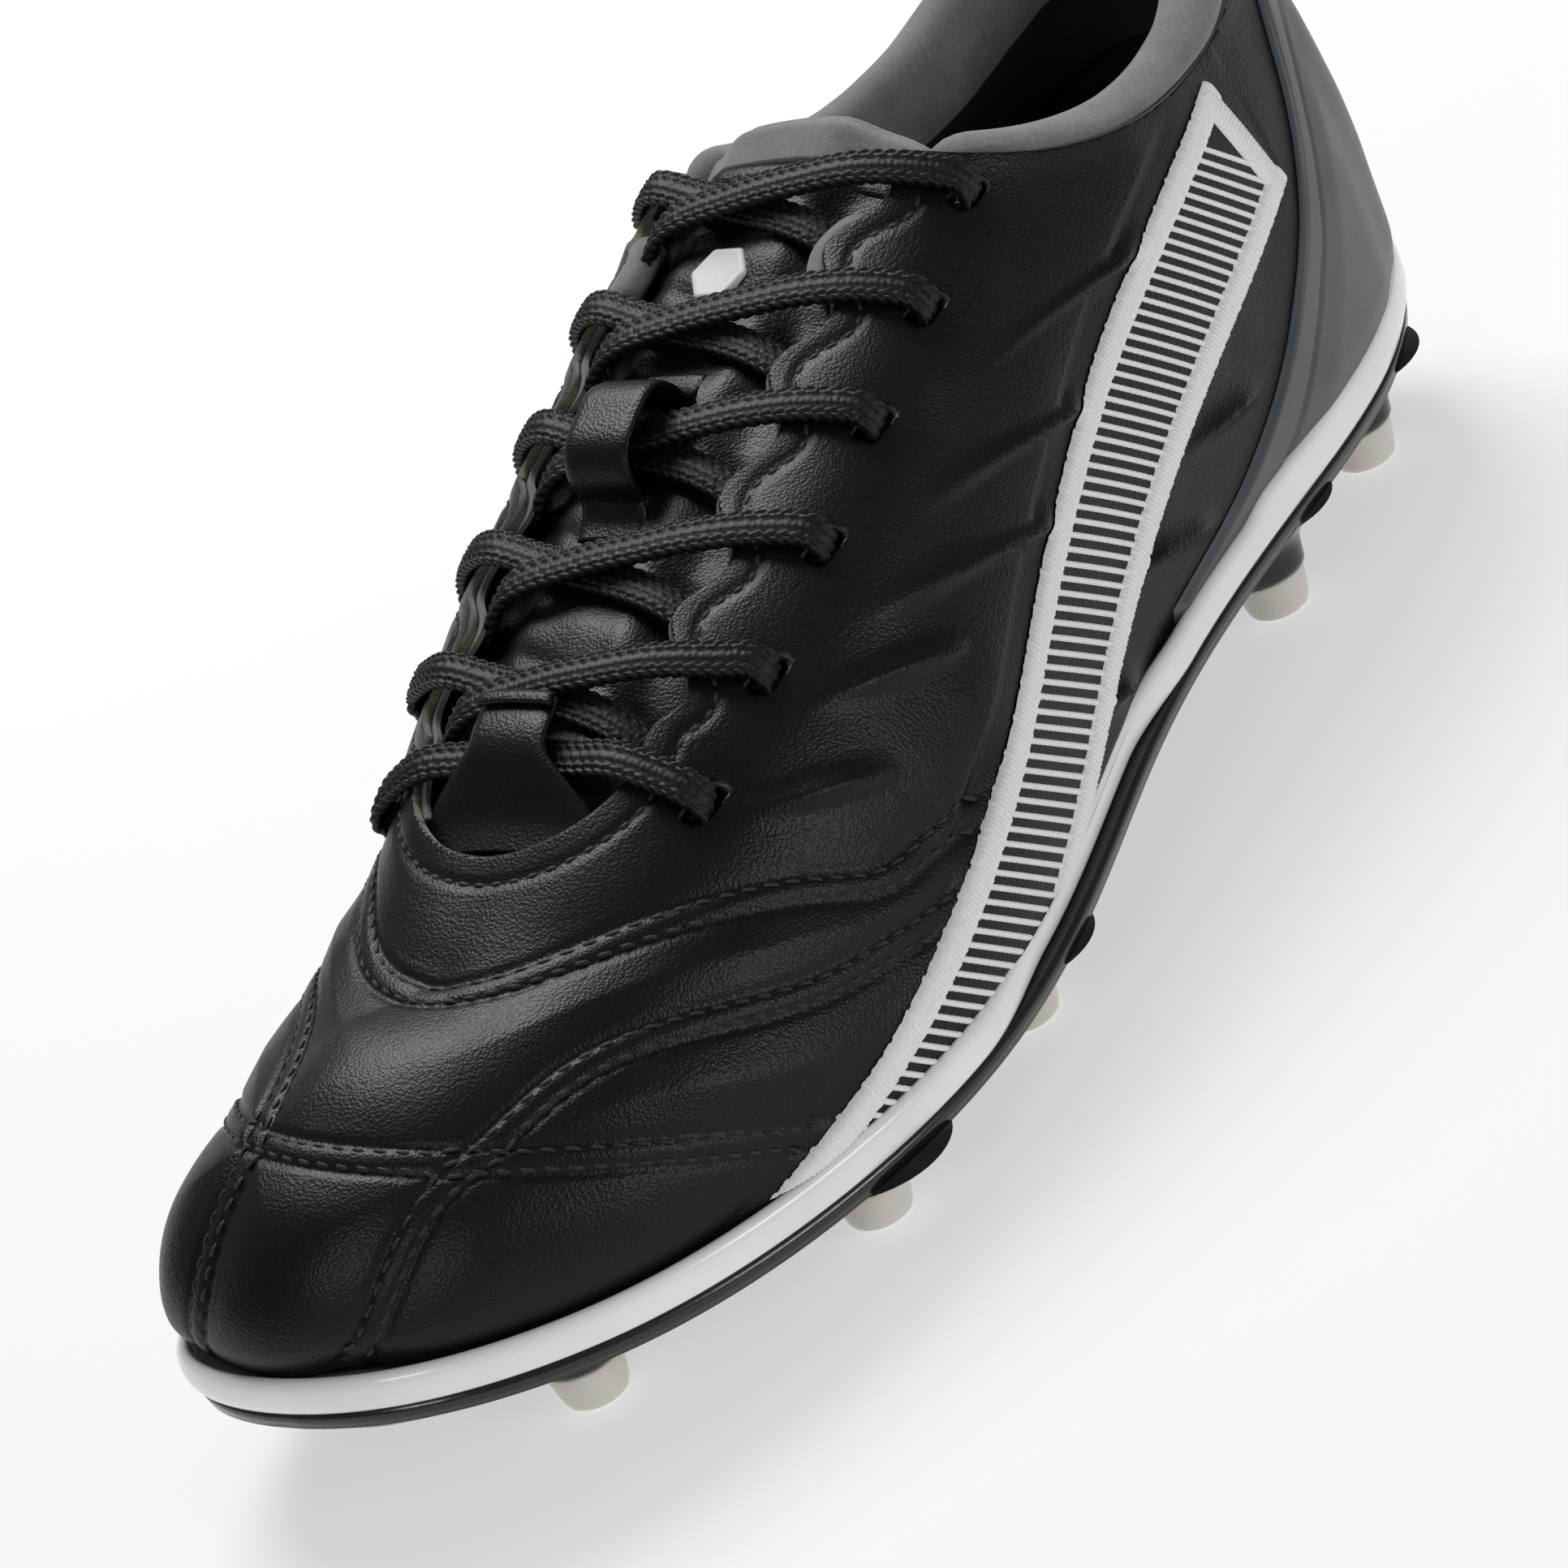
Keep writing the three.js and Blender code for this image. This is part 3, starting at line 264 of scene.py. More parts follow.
def last_normal(t, h):
    t, h = np.broadcast_arrays(np.asarray(t, float), np.asarray(h, float))
    low = np.minimum(h, CREST)
    along = last(t + 0.5, low) - last(t - 0.5, low)
    climb = last(t, low + 0.01) - last(t, np.maximum(low - 0.01, 0))
    normal = unit(np.cross(along, climb))
    sa = ridge_station(sole_at(t)[..., 1])
    slope = (ridge_height(sa + 1) - ridge_height(sa - 1)) / 2
    crest = unit(np.stack([0 * slope, -slope, 1 + 0 * slope], -1))
    near = np.clip((h - CREST) / 0.03, 0, 1)[..., None]
    return unit(mix(normal, crest, near))


def last_offset(t, h, up):
    return last(t, h) + last_normal(t, h) * np.asarray(up, float)[..., None]


def height_at_arc(t, distance, start):
    """h at a distance up the rib from the sole (start 0) or down it from the ridge (start 1)."""
    t, distance = np.broadcast_arrays(np.asarray(t, float), np.asarray(distance, float))
    flat_t, flat_d = t.ravel(), distance.ravel()
    h = np.abs(start - np.linspace(0, 1, 121))
    run = run_along(last(flat_t[:, None], h[None, :]))
    found = np.array([np.interp(d, r, h) for d, r in zip(flat_d, run)])
    return found.reshape(t.shape)


def instep(s, arc, up=0.0):
    """Point at a station and a signed distance from the ridge (outer side positive)."""
    s, arc, up = np.broadcast_arrays(*(np.asarray(v, float) for v in (s, arc, up)))
    t = outline_t(s, np.where(arc < 0, -1, 1))
    return last_offset(t, height_at_arc(t, np.abs(arc), 1), up)


def throat_half(s):
    return THROAT_HALF - SCALLOP * np.cos(2 * np.pi * (s - EYELET_S - SCALLOP_LEAD) / EYELET_PITCH)


def throat_field(p):
    """Distance outside the throat's edge, seen from above. The heel and low leather are always outside."""
    s = station(p)
    beside_ridge = np.abs(p[..., 0] - ridge_side(s))
    behind = beside_ridge - throat_half(s)
    half = throat_half(THROAT_NOSE)
    ahead = (np.hypot(beside_ridge / half, (THROAT_NOSE - s) / THROAT_HALF) - 1) * THROAT_HALF
    field = np.where(s < THROAT_NOSE, ahead, behind) + 80 * smoothstep(s, 212, 240)
    return np.maximum(field, THROAT_LOW - p[..., 2])


def collar_field(p, drop=0.0):
    """Distance under the collar's top edge."""
    s = station(p)
    return topline(s) - drop - p[..., 2] + 2 * np.maximum(TOPLINE[0][0] - s, 0)


def smooth_min(a, b, k):
    blend = np.clip(0.5 + 0.5 * (b - a) / k, 0, 1)
    return mix(b, a, blend) - k * blend * (1 - blend)


# ------------------------------------------------------------------ mesh helpers
def grid_faces(rows, columns, wrap_rows=False, wrap_columns=False):
    i = np.arange(rows if wrap_rows else rows - 1)
    j = np.arange(columns if wrap_columns else columns - 1)
    i, j = (v.ravel() for v in np.meshgrid(i, j, indexing="ij"))
    k, m = (i + 1) % rows, (j + 1) % columns
    return np.stack([i * columns + j, k * columns + j, k * columns + m, i * columns + m], 1)


class Shape:
    """Vertices in millimetres, faces and the material number of each face."""

    def __init__(self):
        self.verts, self.faces, self.mats = [], [], []
        self.count = 0

    def add(self, verts, faces, mat=0):
        verts = np.asarray(verts, float).reshape(-1, 3)
        self.verts.append(verts)
        faces = [[int(k) + self.count for k in face] for face in faces]
        self.faces.extend(faces)
        self.mats.extend([mat] * len(faces))
        self.count += len(verts)
        return self

    def sheet(self, grid, mat=0):
        return self.add(grid, grid_faces(*grid.shape[:2]), mat)

    def slab(self, top, under, mat=0):
        """Closed form between two equal grids."""
        rows, columns = top.shape[:2]
        faces = grid_faces(rows, columns).tolist()
        n = rows * columns
        faces += [[a + n for a in face[::-1]] for face in faces]
        edge = [i * columns for i in range(rows)] + [(rows - 1) * columns + j for j in range(1, columns)]
        edge += [i * columns + columns - 1 for i in range(rows - 2, -1, -1)]
        edge += list(range(columns - 2, 0, -1))
        for a, b in zip(edge, edge[1:] + edge[:1]):
            faces.append([b, a, a + n, b + n])
        return self.add(np.concatenate([top.reshape(-1, 3), under.reshape(-1, 3)]), faces, mat)

    def tube(self, rings, mat=0, closed=False):
        """Skin over equal closed rings, with flat ends unless the rings themselves close."""
        rows, columns = rings.shape[:2]
        faces = grid_faces(rows, columns, wrap_rows=closed, wrap_columns=True).tolist()
        if not closed:
            faces.append(list(range(columns)))
            faces.append(list(range(rows * columns - 1, (rows - 1) * columns - 1, -1)))
        return self.add(rings, faces, mat)

    def clipped(self, points, field, faces, mat=0):
        """The part of a surface where the field is positive."""
        data, faces = clip(np.column_stack([points.reshape(-1, 3), field.ravel()]), faces.tolist(), 3)
        if faces:
            data, faces = drop_unused(data, faces)
            self.add(data[:, :3], faces, mat)
        return self


def place(verts):
    """Millimetres on the last to metres in the model's frame."""
    return (np.asarray(verts, float) + (CENTRE_X, 0, 0)) * 0.001


def into_scene(name, data):
    made = bpy.data.objects.new(name, data)
    bpy.context.scene.collection.objects.link(made)
    return made


def make(name, shape, materials, body="boot", replaces=(), outward=True):
    mesh = bpy.data.meshes.new(name)
    verts = place(np.concatenate(shape.verts))
    mesh.from_pydata(verts.tolist(), [], shape.faces)
    for material in materials:
        mesh.materials.append(material)
    mesh.polygons.foreach_set("material_index", shape.mats)
    mesh.polygons.foreach_set("use_smooth", [True] * len(shape.faces))
    mesh.validate()
    mesh.update()
    piece = into_scene(name, mesh)
    if outward:
        face_outward(mesh)
    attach(piece, body)
    if replaces:
        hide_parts(*replaces)
    return piece


def face_outward(mesh):
    work = bmesh.new()
    work.from_mesh(mesh)
    bmesh.ops.remove_doubles(work, verts=work.verts, dist=1e-6)
    bmesh.ops.recalc_face_normals(work, faces=work.faces)
    work.to_mesh(mesh)
    work.free()


def modifier(piece, kind, **settings):
    made = piece.modifiers.new(kind.title(), kind)
    for key, value in settings.items():
        setattr(made, key, value)
    return made


def resample(points, spacing):
    """Points at an even spacing along a smooth curve through the given ones."""
    points = np.asarray(points, float)
    run = run_along(points)
    curve = Spline(np.column_stack([run, points]))
    fine = curve(np.linspace(0, run[-1], 40 * len(points)))
    run = run_along(fine)
    at = np.linspace(0, run[-1], max(2, int(round(run[-1] / spacing)) + 1))
    return read_rows(at, run, fine)


def near_curve(points, samples, reach):
    """Distances to a curve, worked out only where they can be under reach."""
    distance = np.full(len(points), 1e3)
    inside = ((points > samples.min(0) - reach) & (points < samples.max(0) + reach)).all(1)
    close, best = points[inside], np.full(inside.sum(), 1e9)
    for start in range(0, len(samples), 200):
        gap = ((close[:, None, :] - samples[None, start:start + 200]) ** 2).sum(2)
        best = np.minimum(best, gap.min(1))
    distance[inside] = np.sqrt(best)
    return distance


def value_noise(points, cell, seed):
    """Smooth noise from -1 to 1 with features of one size in millimetres, from a fixed hash."""
    points = np.asarray(points, float) / cell
    low = np.floor(points).astype(np.int64)
    f = points - low
    f = f * f * (3 - 2 * f)
    total = np.zeros(points.shape[:-1])
    for corner in range(8):
        offset = np.array([corner & 1, corner >> 1 & 1, corner >> 2 & 1])
        key = (low + offset) * np.array([73856093, 19349663, 83492791]) + seed * 9781
        mixed = np.bitwise_xor.reduce(key, axis=-1) & 0xFFFFFF
        mixed = (mixed * 1103515245 + 12345) & 0x7FFFFFFF
        mixed = ((mixed ^ mixed >> 13) * 1274126177) & 0x7FFFFFFF
        weight = np.where(offset == 1, f, 1 - f).prod(-1)
        total += weight * (mixed / 0x3FFFFFFF - 1)
    return total


# ------------------------------------------------------------------ camera, floor and lights
CAMERA_DEGREES = (44.77, 27.44, -24.53)
CAMERA_DISTANCE = 1.0208
CAMERA_SHIFT = (-0.0010, -0.01906)
CAMERA_LENS = 163.1


def aim_camera():
    azimuth, elevation, roll = (math.radians(v) for v in CAMERA_DEGREES)
    target = Vector((CENTRE_X / 1000, 0, 0.045))
    back = Vector((math.sin(azimuth) * math.cos(elevation), -math.cos(azimuth) * math.cos(elevation),
                   math.sin(elevation)))
    level = Vector((math.cos(azimuth), math.sin(azimuth), 0))
    rise = back.cross(level)
    right = level * math.cos(roll) + rise * math.sin(roll)
    up = rise * math.cos(roll) - level * math.sin(roll)
    data = bpy.data.cameras.new("camera")
    data.sensor_width, data.lens = 36.0, CAMERA_LENS
    data.clip_start, data.clip_end = 0.05, 20
    camera = into_scene("camera", data)
    place_at = target + right * CAMERA_SHIFT[0] + up * CAMERA_SHIFT[1] + back * CAMERA_DISTANCE
    camera.matrix_world = Matrix.Translation(place_at) @ Matrix((right, up, back)).transposed().to_4x4()
    bpy.context.scene.camera = camera


def area_light(name, place_at, size, power):
    """A white lamp that faces the middle of the boot."""
    data = bpy.data.lights.new(name, "AREA")
    data.shape, data.size, data.size_y = "RECTANGLE", size[0], size[1]
    data.energy, data.color = power, (1, 1, 1)
    lamp = into_scene(name, data)
    lamp.location = place_at
    lamp.rotation_euler = (Vector((0, 0, 0.05)) - Vector(place_at)).to_track_quat("-Z", "Y").to_euler()


def light_studio():
    bpy.context.scene.view_settings.view_transform = "Standard"
    world = bpy.data.worlds.new("studio")
    bpy.context.scene.world = world
    world.use_nodes = True
    background = world.node_tree.nodes["Background"].inputs
    background["Color"].default_value = (0.93, 0.95, 1.0, 1)
    background["Strength"].default_value = 0.20
    area_light("key", (-0.5, 0.4, 1.0), (0.6, 0.6), 13)
    area_light("front", (0.35, -1.2, 0.7), (0.4, 0.3), 3)
    area_light("side", (1.2, 0.1, 0.45), (0.5, 0.3), 4)


def lay_floor():
    mesh = bpy.data.meshes.new("floor")
    mesh.from_pydata([(-6, -6, 0), (6, -6, 0), (6, 6, 0), (-6, 6, 0)], [], [(0, 1, 2, 3)])
    mesh.materials.append(FLOOR)
    into_scene("floor", mesh)


# ------------------------------------------------------------------ materials
class Paint:
    """A procedural material built round one Principled shader. Scales are in features per millimetre."""

    def __init__(self, name, **settings):
        self.material = bpy.data.materials.new(name)
        self.material.use_nodes = True
        self.tree = self.material.node_tree
        self.shader = self.tree.nodes["Principled BSDF"]
        for key, value in settings.items():
            socket = self.shader.inputs[key.replace("_", " ")]
            socket.default_value = (*value, 1) if socket.type == "RGBA" else value
        self.coords = self.node("ShaderNodeTexCoord").outputs["Object"]
        self.height = None

    def node(self, kind, **settings):
        made = self.tree.nodes.new(kind)
        for key, value in settings.items():
            setattr(made, key, value)
        return made

    def link(self, a, b):
        self.tree.links.new(a, b)

    def texture(self, kind, per_mm, inputs, output, **settings):
        made = self.node(kind, **settings)
        self.fill(made, Scale=per_mm * 1000, **inputs)
        self.link(self.coords, made.inputs["Vector"])
        return made.outputs[output]

    def fill(self, node, **inputs):
        for key, number in inputs.items():
            node.inputs[key.replace("_", " ")].default_value = number

    def noise(self, per_mm, detail, rough):
        return self.texture("ShaderNodeTexNoise", per_mm, {"Detail": detail, "Roughness": rough}, "Fac")

    def cells(self, per_mm, smooth):
        inputs = {"Smoothness": smooth}
        return self.texture("ShaderNodeTexVoronoi", per_mm, inputs, "Distance", feature="SMOOTH_F1")

    def blend(self, a, share_a, b, share_b):
        """share_a of one value plus share_b of another."""
        parts = []
        for value, share in ((a, share_a), (b, share_b)):
            made = self.node("ShaderNodeMath", operation="MULTIPLY")
            self.link(value, made.inputs[0])
            made.inputs[1].default_value = share
            parts.append(made.outputs[0])
        total = self.node("ShaderNodeMath", operation="ADD")
        for part, socket in zip(parts, total.inputs):
            self.link(part, socket)
        return total.outputs[0]

    def colour(self, value, *stops):
        ramp = self.node("ShaderNodeValToRGB")
        for element, (position, shade) in zip(ramp.color_ramp.elements, stops):
            element.position, element.color = position, (*shade, 1)
        self.link(value, ramp.inputs["Fac"])
        self.link(ramp.outputs["Color"], self.shader.inputs["Base Color"])

    def rough(self, value, low, high, out_low, out_high):
        made = self.node("ShaderNodeMapRange")
        self.fill(made, From_Min=low, From_Max=high, To_Min=out_low, To_Max=out_high)
        self.link(value, made.inputs["Value"])
        self.link(made.outputs["Result"], self.shader.inputs["Roughness"])

    def bump(self, value, strength, depth_mm):
        """Raises the surface; a second call adds to the first."""
        made = self.node("ShaderNodeBump")
        self.fill(made, Strength=strength, Distance=depth_mm * 0.001)
        self.link(value, made.inputs["Height"])
        if self.height is not None:
            self.link(self.height, made.inputs["Normal"])
        self.height = made.outputs["Normal"]
        self.link(self.height, self.shader.inputs["Normal"])


def leather_paint(name, dark, light):
    """Full-grain leather: fine pebbles with creases between them."""
    p = Paint(name, Specular_IOR_Level=0.22)
    pebbles = p.cells(2.1, 0.3)
    pores = p.noise(3.4, 2, 0.5)
    broad = p.noise(0.03, 3, 0.6)
    p.colour(broad, (0.3, dark), (0.7, light))
    p.rough(p.blend(pebbles, 0.6, broad, 0.4), 0.1, 0.6, 0.24, 0.42)
    p.bump(p.blend(pebbles, -1.0, pores, 0.3), 0.6, 0.12)
    return p.material


def suede_paint(name, dark, light, sheen=0.6):
    """Rough fibres: suede, cut leather edges, felt and pressed board."""
    p = Paint(name, Roughness=0.95, Specular_IOR_Level=0.2, Sheen_Weight=sheen, Sheen_Roughness=0.5,
              Sheen_Tint=(0.8, 0.8, 0.82))
    nap = p.noise(1.6, 5, 0.7)
    patch = p.noise(0.12, 3, 0.6)
    p.colour(p.blend(nap, 0.6, patch, 0.4), (0.35, dark), (0.65, light))
    p.bump(nap, 0.6, 0.25)
    p.bump(patch, 0.2, 0.8)
    return p.material


def plastic_paint(name, base, light, roughness=(0.12, 0.22), speck=1.2, depth=0.03, **extra):
    p = Paint(name, Specular_IOR_Level=0.5, **extra)
    fine = p.noise(speck, 3, 0.6)
    broad = p.noise(0.05, 2, 0.5)
    p.colour(broad, (0.35, base), (0.65, light))
    p.rough(fine, 0.3, 0.7, *roughness)
    p.bump(fine, 0.3, depth)
    return p.material


def thread_paint(name, dark, light, per_mm, rough=0.6, sheen=0.1):
    p = Paint(name, Roughness=rough, Specular_IOR_Level=0.27, Sheen_Weight=sheen)
    strands = p.noise(per_mm, 4, 0.65)
    p.colour(strands, (0.35, dark), (0.65, light))
    p.bump(strands, 0.5, 0.1)
    return p.material


def floor_paint():
    p = Paint("floor", Roughness=0.7, Specular_IOR_Level=0.1, Emission_Color=(1.0, 1.0, 1.0),
              Emission_Strength=0.54)
    p.colour(p.noise(0.004, 2, 0.5), (0.3, (0.38, 0.38, 0.38)), (0.7, (0.40, 0.40, 0.40)))
    return p.material


FLOOR = floor_paint()
BLACK_LEATHER = leather_paint("black_leather", (0.002, 0.002, 0.003), (0.004, 0.004, 0.005))
CUT_EDGE = suede_paint("cut_leather_edge", (0.045, 0.042, 0.030), (0.13, 0.12, 0.09))
THROAT_EDGE = suede_paint("throat_edge", (0.045, 0.042, 0.038), (0.12, 0.115, 0.10))
GREY_SUEDE = suede_paint("grey_suede", (0.115, 0.105, 0.104), (0.205, 0.19, 0.188))
DARK_LINING = suede_paint("dark_lining", (0.006, 0.006, 0.007), (0.016, 0.016, 0.018), 0.08)
BLACK_THREAD = thread_paint("black_thread", (0.008, 0.008, 0.008), (0.020, 0.020, 0.020), 5.0, 0.5)
WHITE_THREAD = thread_paint("white_thread", (0.66, 0.66, 0.66), (0.84, 0.84, 0.84), 4.0, 0.55)
LACE_YARN = thread_paint("lace_yarn", (0.002, 0.002, 0.002), (0.006, 0.006, 0.006), 6.0, 0.42, 0.0)
WHITE_PLASTIC = plastic_paint("white_plastic", (0.78, 0.78, 0.78), (0.83, 0.83, 0.83))
BLACK_PLASTIC = plastic_paint("black_plastic", (0.008, 0.008, 0.009), (0.013, 0.013, 0.014), (0.14, 0.26))
GREY_PLASTIC = plastic_paint("grey_plastic", (0.055, 0.062, 0.068), (0.075, 0.082, 0.088), (0.38, 0.5),
                             2.2, 0.05)
STUD_PLASTIC = plastic_paint("stud_plastic", (0.62, 0.60, 0.53), (0.70, 0.68, 0.61), (0.18, 0.3),
                             Subsurface_Weight=0.5, Subsurface_Radius=(0.004, 0.004, 0.003))
BOARD = suede_paint("pressed_board", (0.06, 0.055, 0.045), (0.10, 0.09, 0.075))
AGLET = plastic_paint("aglet_plastic", (0.010, 0.010, 0.010), (0.02, 0.02, 0.02))
BADGE = plastic_paint("badge_white", (0.52, 0.52, 0.51), (0.58, 0.58, 0.57), (0.5, 0.6))

aim_camera()
light_studio()
lay_floor()

# ------------------------------------------------------------------ lace
BRAID_WIDE = 5.3
BRAID_THICK = 1.6
YARN_WIDE = 0.98
YARN_LONG = 1.9
TAIL = [(180, 47, 6), (170, 40, 6), (158, 35, 6), (146, 32, 6), (134, 30, 6), (122, 29, 6.3), (110, 29, 7.5)]


def eyelet_station(row):
    return EYELET_S + EYELET_PITCH * row


def eyelet_turn(row, side):
    """One turn of the lace round the edge of an eyelet, outside to inside, as (s, arc, up)."""
    turn = [(-2.3, LACE_OVER), (-0.1, 0.5), (0.6, -1.25), (-0.1, -3), (-2.3, LACE_UNDER)]
    arc = float(eyelet_arc(eyelet_station(row)))
    return [(eyelet_station(row), side * (arc + past), up) for past, up in turn]


def crossing(row, side):
    """From inside one eyelet to outside the next eyelet on the other side."""
    s = eyelet_station(row)
    middle = LACE_OVER if side < 0 else -0.9
    return [(s + 2.6, side * 27.5, LACE_UNDER), (s + 5, side * 20.5, LACE_UNDER + 0.2),
            (s + 7.4, side * 12.5, middle - 0.8), (s + 10.4, 0, middle), (s + 13, -side * 10, middle + 0.1),
            (s + 15.6, -side * 18.5, LACE_OVER + 0.2), (s + 18.6, -side * 27.5, LACE_OVER)]


def lace_half(side):
    """Points and the lace's broad direction, from the front bar to the end of one tail."""
    route = [(EYELET_S, 0.01 * side, -0.9), (EYELET_S, side * 9, -0.8),
             (EYELET_S, side * 17, LACE_OVER - 0.2), (EYELET_S, side * 25, LACE_OVER)]
    here = side
    for row in range(EYELETS):
        route += eyelet_turn(row, here)
        if row < EYELETS - 1:
            route += crossing(row, here)
            here = -here
    s, arc, up = np.array(route).T
    points = instep(s, arc, up)
    broad = unit(instep(s + 2, arc) - instep(s - 2, arc))
    s, climb, depth = np.array(TAIL, float).T
    t = outline_t(s, here)
    h = height_at_arc(t, climb, 0)
    points = np.concatenate([points, last_offset(t, h, -depth)])
    broad = np.concatenate([broad, unit(last(t, h + 0.02) - last(t, h - 0.02))])
    return points, broad


def centripetal(points, per_span):
    """Centripetal Catmull-Rom curve: its points and the place of each along the given ones."""
    points = np.asarray(points)
    ends = [2 * points[0] - points[1]], [2 * points[-1] - points[-2]]
    p = np.concatenate([ends[0], points, ends[1]])
    knots = np.sqrt(np.linalg.norm(np.diff(p, axis=0), axis=1))
    out, at = [], []
    for i in range(len(points) - 1):
        d0, d1, d2 = knots[i:i + 3]
        q0, q1, q2, q3 = p[i:i + 4]
        start = ((q1 - q0) / d0 - (q2 - q0) / (d0 + d1) + (q2 - q1) / d1) * d1
        stop = ((q2 - q1) / d1 - (q3 - q1) / (d1 + d2) + (q3 - q2) / d2) * d1
        count = per_span + (1 if i == len(points) - 2 else 0)
        u = (np.arange(count) / per_span)[:, None]
        a = -3 * q1 + 3 * q2 - 2 * start - stop
        b = 2 * q1 - 2 * q2 + start + stop
        out.append(q1 + start * u + a * u * u + b * u ** 3)
        at.append(i + u[:, 0])
    return np.concatenate(out), np.concatenate(at)


def braid_relief(along, across):
    """Height of the plaited yarns: columns of slanted stitches, each half a stitch past the last."""
    column = across / YARN_WIDE
    number = np.round(column)
    beside = column - number
    lean = np.where(number % 2 == 0, 1.0, -1.0)
    beat = np.abs(np.sin(np.pi * (along / YARN_LONG + lean * beside * 0.7 + 0.5 * (number % 2))))
    return np.sqrt(np.maximum(1 - (1.95 * beside) ** 2, 0)) * (0.1 + 0.9 * beat ** 0.55)


def flat_tube(centres, broad, wide, thick, around, relief):
    """Rings of a flat braid; relief is the height of its yarns."""
    tangent = unit(np.gradient(centres, axis=0))
    broad = unit(broad - tangent * (broad * tangent).sum(1, keepdims=True))
    normal = np.cross(tangent, broad)
    angle = 2 * np.pi * (np.arange(around) + 0.5) / around
    x = np.sign(np.cos(angle)) * np.abs(np.cos(angle)) ** 0.62 * wide / 2
    z = np.sign(np.sin(angle)) * np.abs(np.sin(angle)) ** 0.5 * thick / 2
    outward = unit(np.stack([x / wide ** 2, z / thick ** 2], 1))
    run = run_along(centres)
    lift = relief * (braid_relief(run[:, None], (x + np.sign(z) * 0.5)[None, :]) - 0.6)
    cx, cz = x + outward[:, 0] * lift, z + outward[:, 1] * lift
    return centres[:, None] + broad[:, None] * cx[..., None] + normal[:, None] * cz[..., None]


def build_lace():
    outer, outer_broad = lace_half(1)
    inner, inner_broad = lace_half(-1)
    points = np.concatenate([inner[::-1], outer[1:]])
    broad = np.concatenate([inner_broad[::-1], outer_broad[1:]])
    for i in range(1, len(broad)):
        if (broad[i] * broad[i - 1]).sum() < 0:
            broad[i] *= -1
    fine, at = centripetal(points, 40)
    run = run_along(fine)
    even = np.arange(0, run[-1], 0.3)
    centres = read_rows(even, run, fine)
    facing = unit(read_rows(np.interp(even, run, at), np.arange(len(broad)), broad))
    shape = Shape().tube(flat_tube(centres, facing, BRAID_WIDE, BRAID_THICK, 48, 0.75))
    piece = make("lace_braid", shape, [LACE_YARN], replaces=["lace"])


build_lace()

# ------------------------------------------------------------------ upper
STATIONS = 470
LEVELS = 185
TOE_POLE = (5, 50, 57)
TOE_REACH = 26
SEAM_ROW = 1.9
SEAM_PITCH = 3.3
SEAM_LEAN = 0.12
EDGE_ROW = 4.0
EDGE_PITCH = 2.9
THREAD_GROOVE = 0.8
STITCH_WIDE = 0.66
STITCH_HIGH = 0.42
STITCH_GAP = 0.45
# seams of two stitched rows, as points (x, s, z) near the leather
SEAMS = {
    "vamp": [(52.5, 112, 40), (52, 101, 42.5), (50, 90, 44), (48, 84, 48), (32, 63, 56), (10, 47, 58),
             (-3, 48, 58), (-24, 68, 60), (-36, 84, 52)],
    "toe_outer": [(54, 98, 34), (53, 88, 36), (50, 74, 39), (40, 55, 46), (30, 39, 49), (24, 25, 47),
                  (20, 18, 45), (15, 7, 37), (9, 2, 28)],
    "toe_inner": [(-40, 76, 40), (-33, 62, 48), (-23, 49, 54), (-13, 31, 54), (-11, 21, 52), (-13, 10, 46),
                  (-15, 4, 38), (-19, 3, 27)],
    "toe_cap": [(50, 66, 20), (46, 54, 27), (42, 43, 34), (33, 31, 42), (21, 23, 47), (7, 19, 50),
                (-7, 20, 51), (-18, 25, 50), (-27, 33, 46), (-34, 42, 38), (-39, 52, 26)],
}
# raised creases from a tip behind the throat to a root near the eyelets: (s, up) of both ends
DARTS = [
    ((159, 54), (212, 44)), ((135, 52), (176, 37)), ((115, 51), (158, 31)), ((100, 49), (124, 37)),
    ((82, 45), (99, 36)), ((140, 10), (156, 4)), ((158, 17), (188, 7)), ((189, 18), (211, 15)),
]


def rib_levels(t, count):
    """Evenly spaced places up each rib: h and the distance from the sole."""
    h = np.linspace(0, 1, 161)
    run = run_along(last(t[:, None], h[None]))
    share = np.linspace(0, 1, count)
    rows = np.array([np.interp(share * r[-1], r, h) for r in run])
    return rows, run[:, -1:] * share[None]


def crowded_stations(count):
    """Stations from toe to heel, closer together at both ends."""
    u = np.linspace(0, 1, count)
    t = TOE_T + (HEEL_T - TOE_T) * (u - 0.4 * np.sin(2 * np.pi * u) / (2 * np.pi))
    return sole_at(t)[:, 1]


def whole_last(stations, levels):
    """The last as one open skin: points, chart (station, distance up, side) and faces."""
    list_s = crowded_stations(stations)
    points, chart, faces = [], [], []
    for number, side in enumerate((1, -1)):
        t = outline_t(list_s, side)
        t[0], t[-1] = TOE_T, HEEL_T
        h, up = rib_levels(t, levels)
        points.append(last(t[:, None], h).reshape(-1, 3))
        station = np.repeat(list_s, levels)
        chart.append(np.column_stack([station, up.ravel(), np.full(len(station), side)]))
        quads = grid_faces(stations, levels)
        if side < 0:
            quads = quads[:, ::-1]
        faces.append(quads + number * stations * levels)
    points, chart, faces = np.concatenate(points), np.concatenate(chart), np.concatenate(faces)
    shared = np.arange(len(points))
    second = np.arange(stations * levels).reshape(stations, levels)
    border = np.concatenate([second[:, -1], second[0], second[-1]])
    shared[border + stations * levels] = border
    return points, chart, shared[faces]


